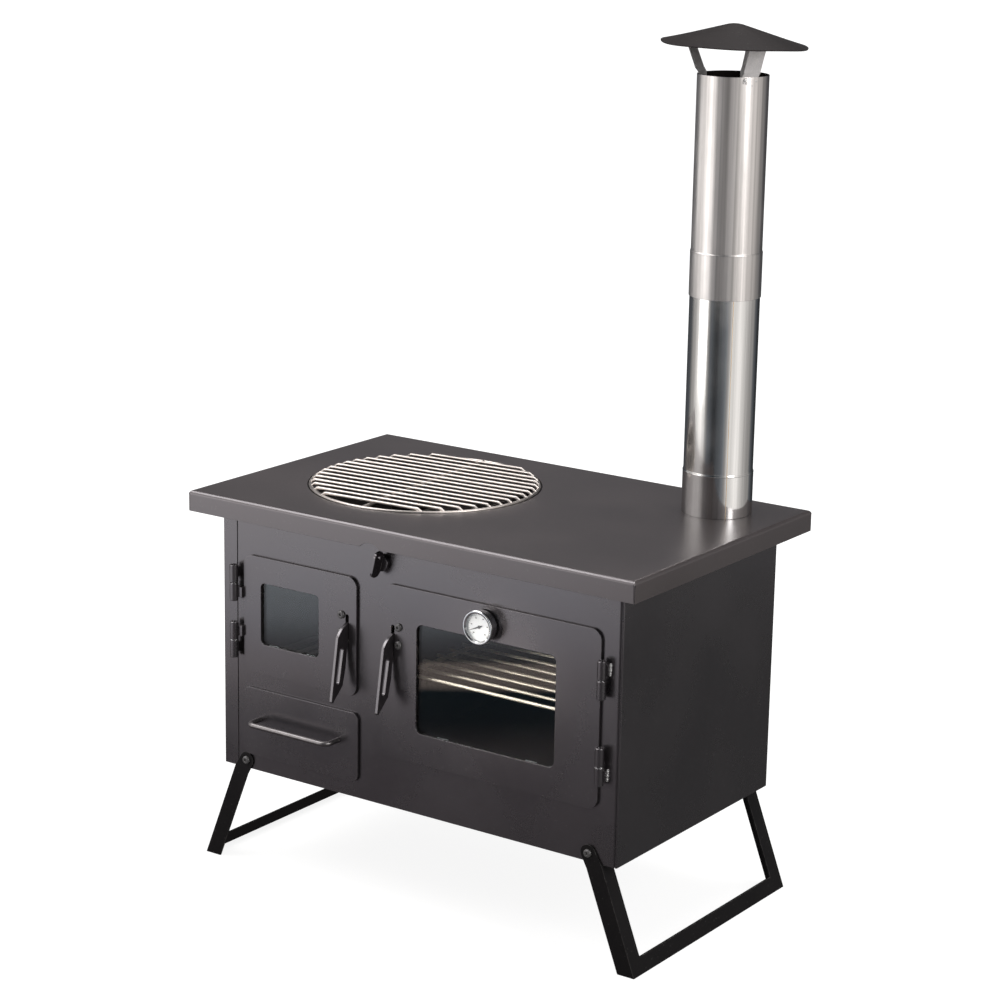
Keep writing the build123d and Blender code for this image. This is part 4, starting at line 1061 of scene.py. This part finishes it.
class STOVE_OT_stage(bpy.types.Operator):
    """Lay the pale floor and set the world, lamps and camera"""

    bl_idname = "stove.stage"
    bl_label = "Stage"

    def execute(self, context):
        self.floor()
        self.world()
        self.lamp("key_softbox", (-1.2, -1.6, 0.46), (-0.1, 0.0, 0.4), 1.35, 0.7, 4.5)
        self.lamp("edge_softbox", (-1.25, -0.8, 2.2), (0.0, -0.1, 0.4), 2.0, 1.3, 34.0)
        self.lamp("left_softbox", (-1.75, -0.24, 0.6), (0.2, 0.1, 0.65), 0.8, 0.33, 1.1)
        self.lamp("right_softbox", (2.7, -0.5, 1.6), (0.0, 0.0, 0.5), 0.7, 2.0, 27.0)
        self.lamp("top_softbox", (0.2, 0.6, 3.0), (0.0, 0.0, 0.3), 1.6, 1.6, 40.0)
        self.spot("rack_spot", (-0.29, -1.75, 0.5), (0.13, -0.09, 0.28), 6.4, 95.0)
        self.camera()
        context.scene.view_settings.view_transform = "Standard"
        return {"FINISHED"}

    def floor(self):
        """A wide pale floor that the camera sees near white, with the object's shadow kept."""
        work = bmesh.new()
        bmesh.ops.create_grid(work, x_segments=1, y_segments=1, size=40.0)
        mesh = bpy.data.meshes.new("floor")
        work.to_mesh(mesh)
        work.free()
        floor = add_object("floor", mesh)
        material, tree, shader = new_material("pale_floor")
        fix(shader, Base_Color=(0.24, 0.237, 0.233, 1), Roughness=0.9, Specular_IOR_Level=0.1)
        path = put(tree, "ShaderNodeLightPath")
        point = object_point(tree)
        reach = vectors(tree, "LENGTH", point)
        glow = put(tree, "ShaderNodeEmission")
        fade = spread(tree, reach, 0.5, 1.5, interpolation_type="SMOOTHSTEP")
        level = maths(tree, "ADD", maths(tree, "MULTIPLY", fade, 0.15), 0.87)
        fix(glow, Strength=maths(tree, "MULTIPLY", path.outputs["Is Camera Ray"], level))
        both = put(tree, "ShaderNodeAddShader")
        feed(shader.outputs[0], both.inputs[0])
        feed(glow.outputs[0], both.inputs[1])
        mirrored = put(tree, "ShaderNodeEmission")
        fix(mirrored, Color=self.mirrored_floor(tree, point, reach))
        seen = mix_shader(tree, path.outputs["Is Glossy Ray"], both.outputs[0], mirrored.outputs[0])
        fix(tree.nodes["Material Output"], Surface=seen)
        mesh.materials.append(material)

    def mirrored_floor(self, tree, point, reach):
        """The floor as gloss sees it: strips near the front, then bands, lifted far to the right."""
        metres = maths(tree, "DIVIDE", vectors(tree, "DOT_PRODUCT", point, FRONT_MIRROR), FLOOR_SPAN)
        strips = ramp(tree, metres, [(place / FLOOR_SPAN, colour) for place, colour in FLOOR_STRIPS])
        aside = vectors(tree, "SUBTRACT", point, flue_axis())
        bands = use_group(tree, "Studio bands", Direction=aside)
        right = vectors(tree, "DOT_PRODUCT", vectors(tree, "NORMALIZE", aside), FAR_RIGHT)
        facing = spread(tree, right, -0.2, 0.95, interpolation_type="SMOOTHSTEP")
        lift = maths(tree, "MULTIPLY", spread(tree, reach, 4.2, 4.8, 0.8), facing)
        lifted = mix_colour(tree, lift, bands.outputs["Colour"], (0.95, 0.92, 0.9))
        beyond = spread(tree, reach, 1.5, 1.9, interpolation_type="SMOOTHSTEP")
        return mix_colour(tree, beyond, strips, lifted)

    def world(self):
        """White to the camera, a studio with dark flags to gloss and glass, and plain grey light."""
        world = bpy.data.worlds.new("studio")
        bpy.context.scene.world = world
        world.use_nodes = True
        tree = world.node_tree
        tree.nodes.clear()
        way = put(tree, "ShaderNodeTexCoord").outputs["Generated"]
        bands = use_group(tree, "Studio bands", Direction=way)
        room, white, grey = [put(tree, "ShaderNodeBackground") for _ in range(3)]
        fix(room, Color=bands.outputs["Colour"])
        fix(white, Color=(1, 1, 1, 1))
        fix(grey, Color=(0.55, 0.55, 0.55, 1))
        path = put(tree, "ShaderNodeLightPath")
        bright = maths(tree, "MAXIMUM", path.outputs["Is Glossy Ray"], path.outputs["Is Transmission Ray"])
        unseen = mix_shader(tree, bright, grey.outputs[0], room.outputs[0])
        seen = mix_shader(tree, path.outputs["Is Camera Ray"], unseen, white.outputs[0])
        fix(put(tree, "ShaderNodeOutputWorld"), Surface=seen)

    def lamp(self, name, place, aim, width, height, power):
        """A rectangular softbox that faces a point."""
        light = bpy.data.lights.new(name, "AREA")
        assign(light, shape="RECTANGLE", size=width, size_y=height, energy=power)
        self.stand(add_object(name, light), place, aim)

    def spot(self, name, place, aim, degrees, power):
        """A small spotlight with a soft rim that faces a point."""
        light = bpy.data.lights.new(name, "SPOT")
        assign(light, spot_size=math.radians(degrees), spot_blend=0.4, shadow_soft_size=0.04)
        assign(light, energy=power, color=SPOT_COLOUR)
        self.stand(add_object(name, light), place, aim)

    def stand(self, lamp, place, aim):
        """Places a lamp and turns it to a point."""
        lamp.location = place
        lamp.rotation_mode = "QUATERNION"
        lamp.rotation_quaternion = (Vector(aim) - Vector(place)).to_track_quat("-Z", "Y")

    def camera(self):
        """The photograph's view: its place, turn, pitch, roll and lens."""
        turn, pitch, roll = [math.radians(degrees) for degrees in CAMERA_DEGREES]
        back = Vector((math.sin(turn) * math.cos(pitch), -math.cos(turn) * math.cos(pitch), math.sin(pitch)))
        right = Vector((math.cos(turn), math.sin(turn), 0))
        up = back.cross(right)
        cos, sin = math.cos(roll), math.sin(roll)
        right, up = cos * right + sin * up, cos * up - sin * right
        lens = assign(bpy.data.cameras.new("camera"), sensor_width=36.0, lens=98.69, clip_end=200.0)
        camera = add_object("camera", lens)
        turned = Matrix((right, up, back)).transposed().to_4x4()
        camera.matrix_world = Matrix.Translation(CAMERA_PLACE) @ turned
        bpy.context.scene.camera = camera


class STOVE_PT_panel(bpy.types.Panel):
    """Sizes, colours and the operators that build the stove"""

    bl_idname = "STOVE_PT_panel"
    bl_label = "Wood stove"
    bl_space_type = "VIEW_3D"
    bl_region_type = "UI"
    bl_category = "Stove"

    def draw(self, context):
        for settings in (context.scene.stove_sizes, context.scene.stove_colours):
            for name in settings.__annotations__:
                self.layout.prop(settings, name)
        for step in STEPS:
            self.layout.operator(step.bl_idname)


STEPS = (
    STOVE_OT_cabinet,
    STOVE_OT_firebox,
    STOVE_OT_ash_drawer,
    STOVE_OT_doors,
    STOVE_OT_hinges,
    STOVE_OT_latches,
    STOVE_OT_oven,
    STOVE_OT_pot_grate,
    STOVE_OT_damper,
    STOVE_OT_thermometer,
    STOVE_OT_legs,
    STOVE_OT_flue,
    STOVE_OT_rain_cap,
    STOVE_OT_stage,
)
CLASSES = (StoveSizes, StoveColours, *STEPS, STOVE_PT_panel)


def register():
    for item in CLASSES:
        bpy.utils.register_class(item)
    bpy.types.Scene.stove_sizes = PointerProperty(type=StoveSizes)
    bpy.types.Scene.stove_colours = PointerProperty(type=StoveColours)


def unregister():
    del bpy.types.Scene.stove_colours
    del bpy.types.Scene.stove_sizes
    for item in reversed(CLASSES):
        bpy.utils.unregister_class(item)


def main():
    """Builds every piece in order."""
    register()
    make_materials()
    for step in STEPS:
        group, name = step.bl_idname.split(".")
        getattr(getattr(bpy.ops, group), name)()


if __name__ == "__main__":
    main()
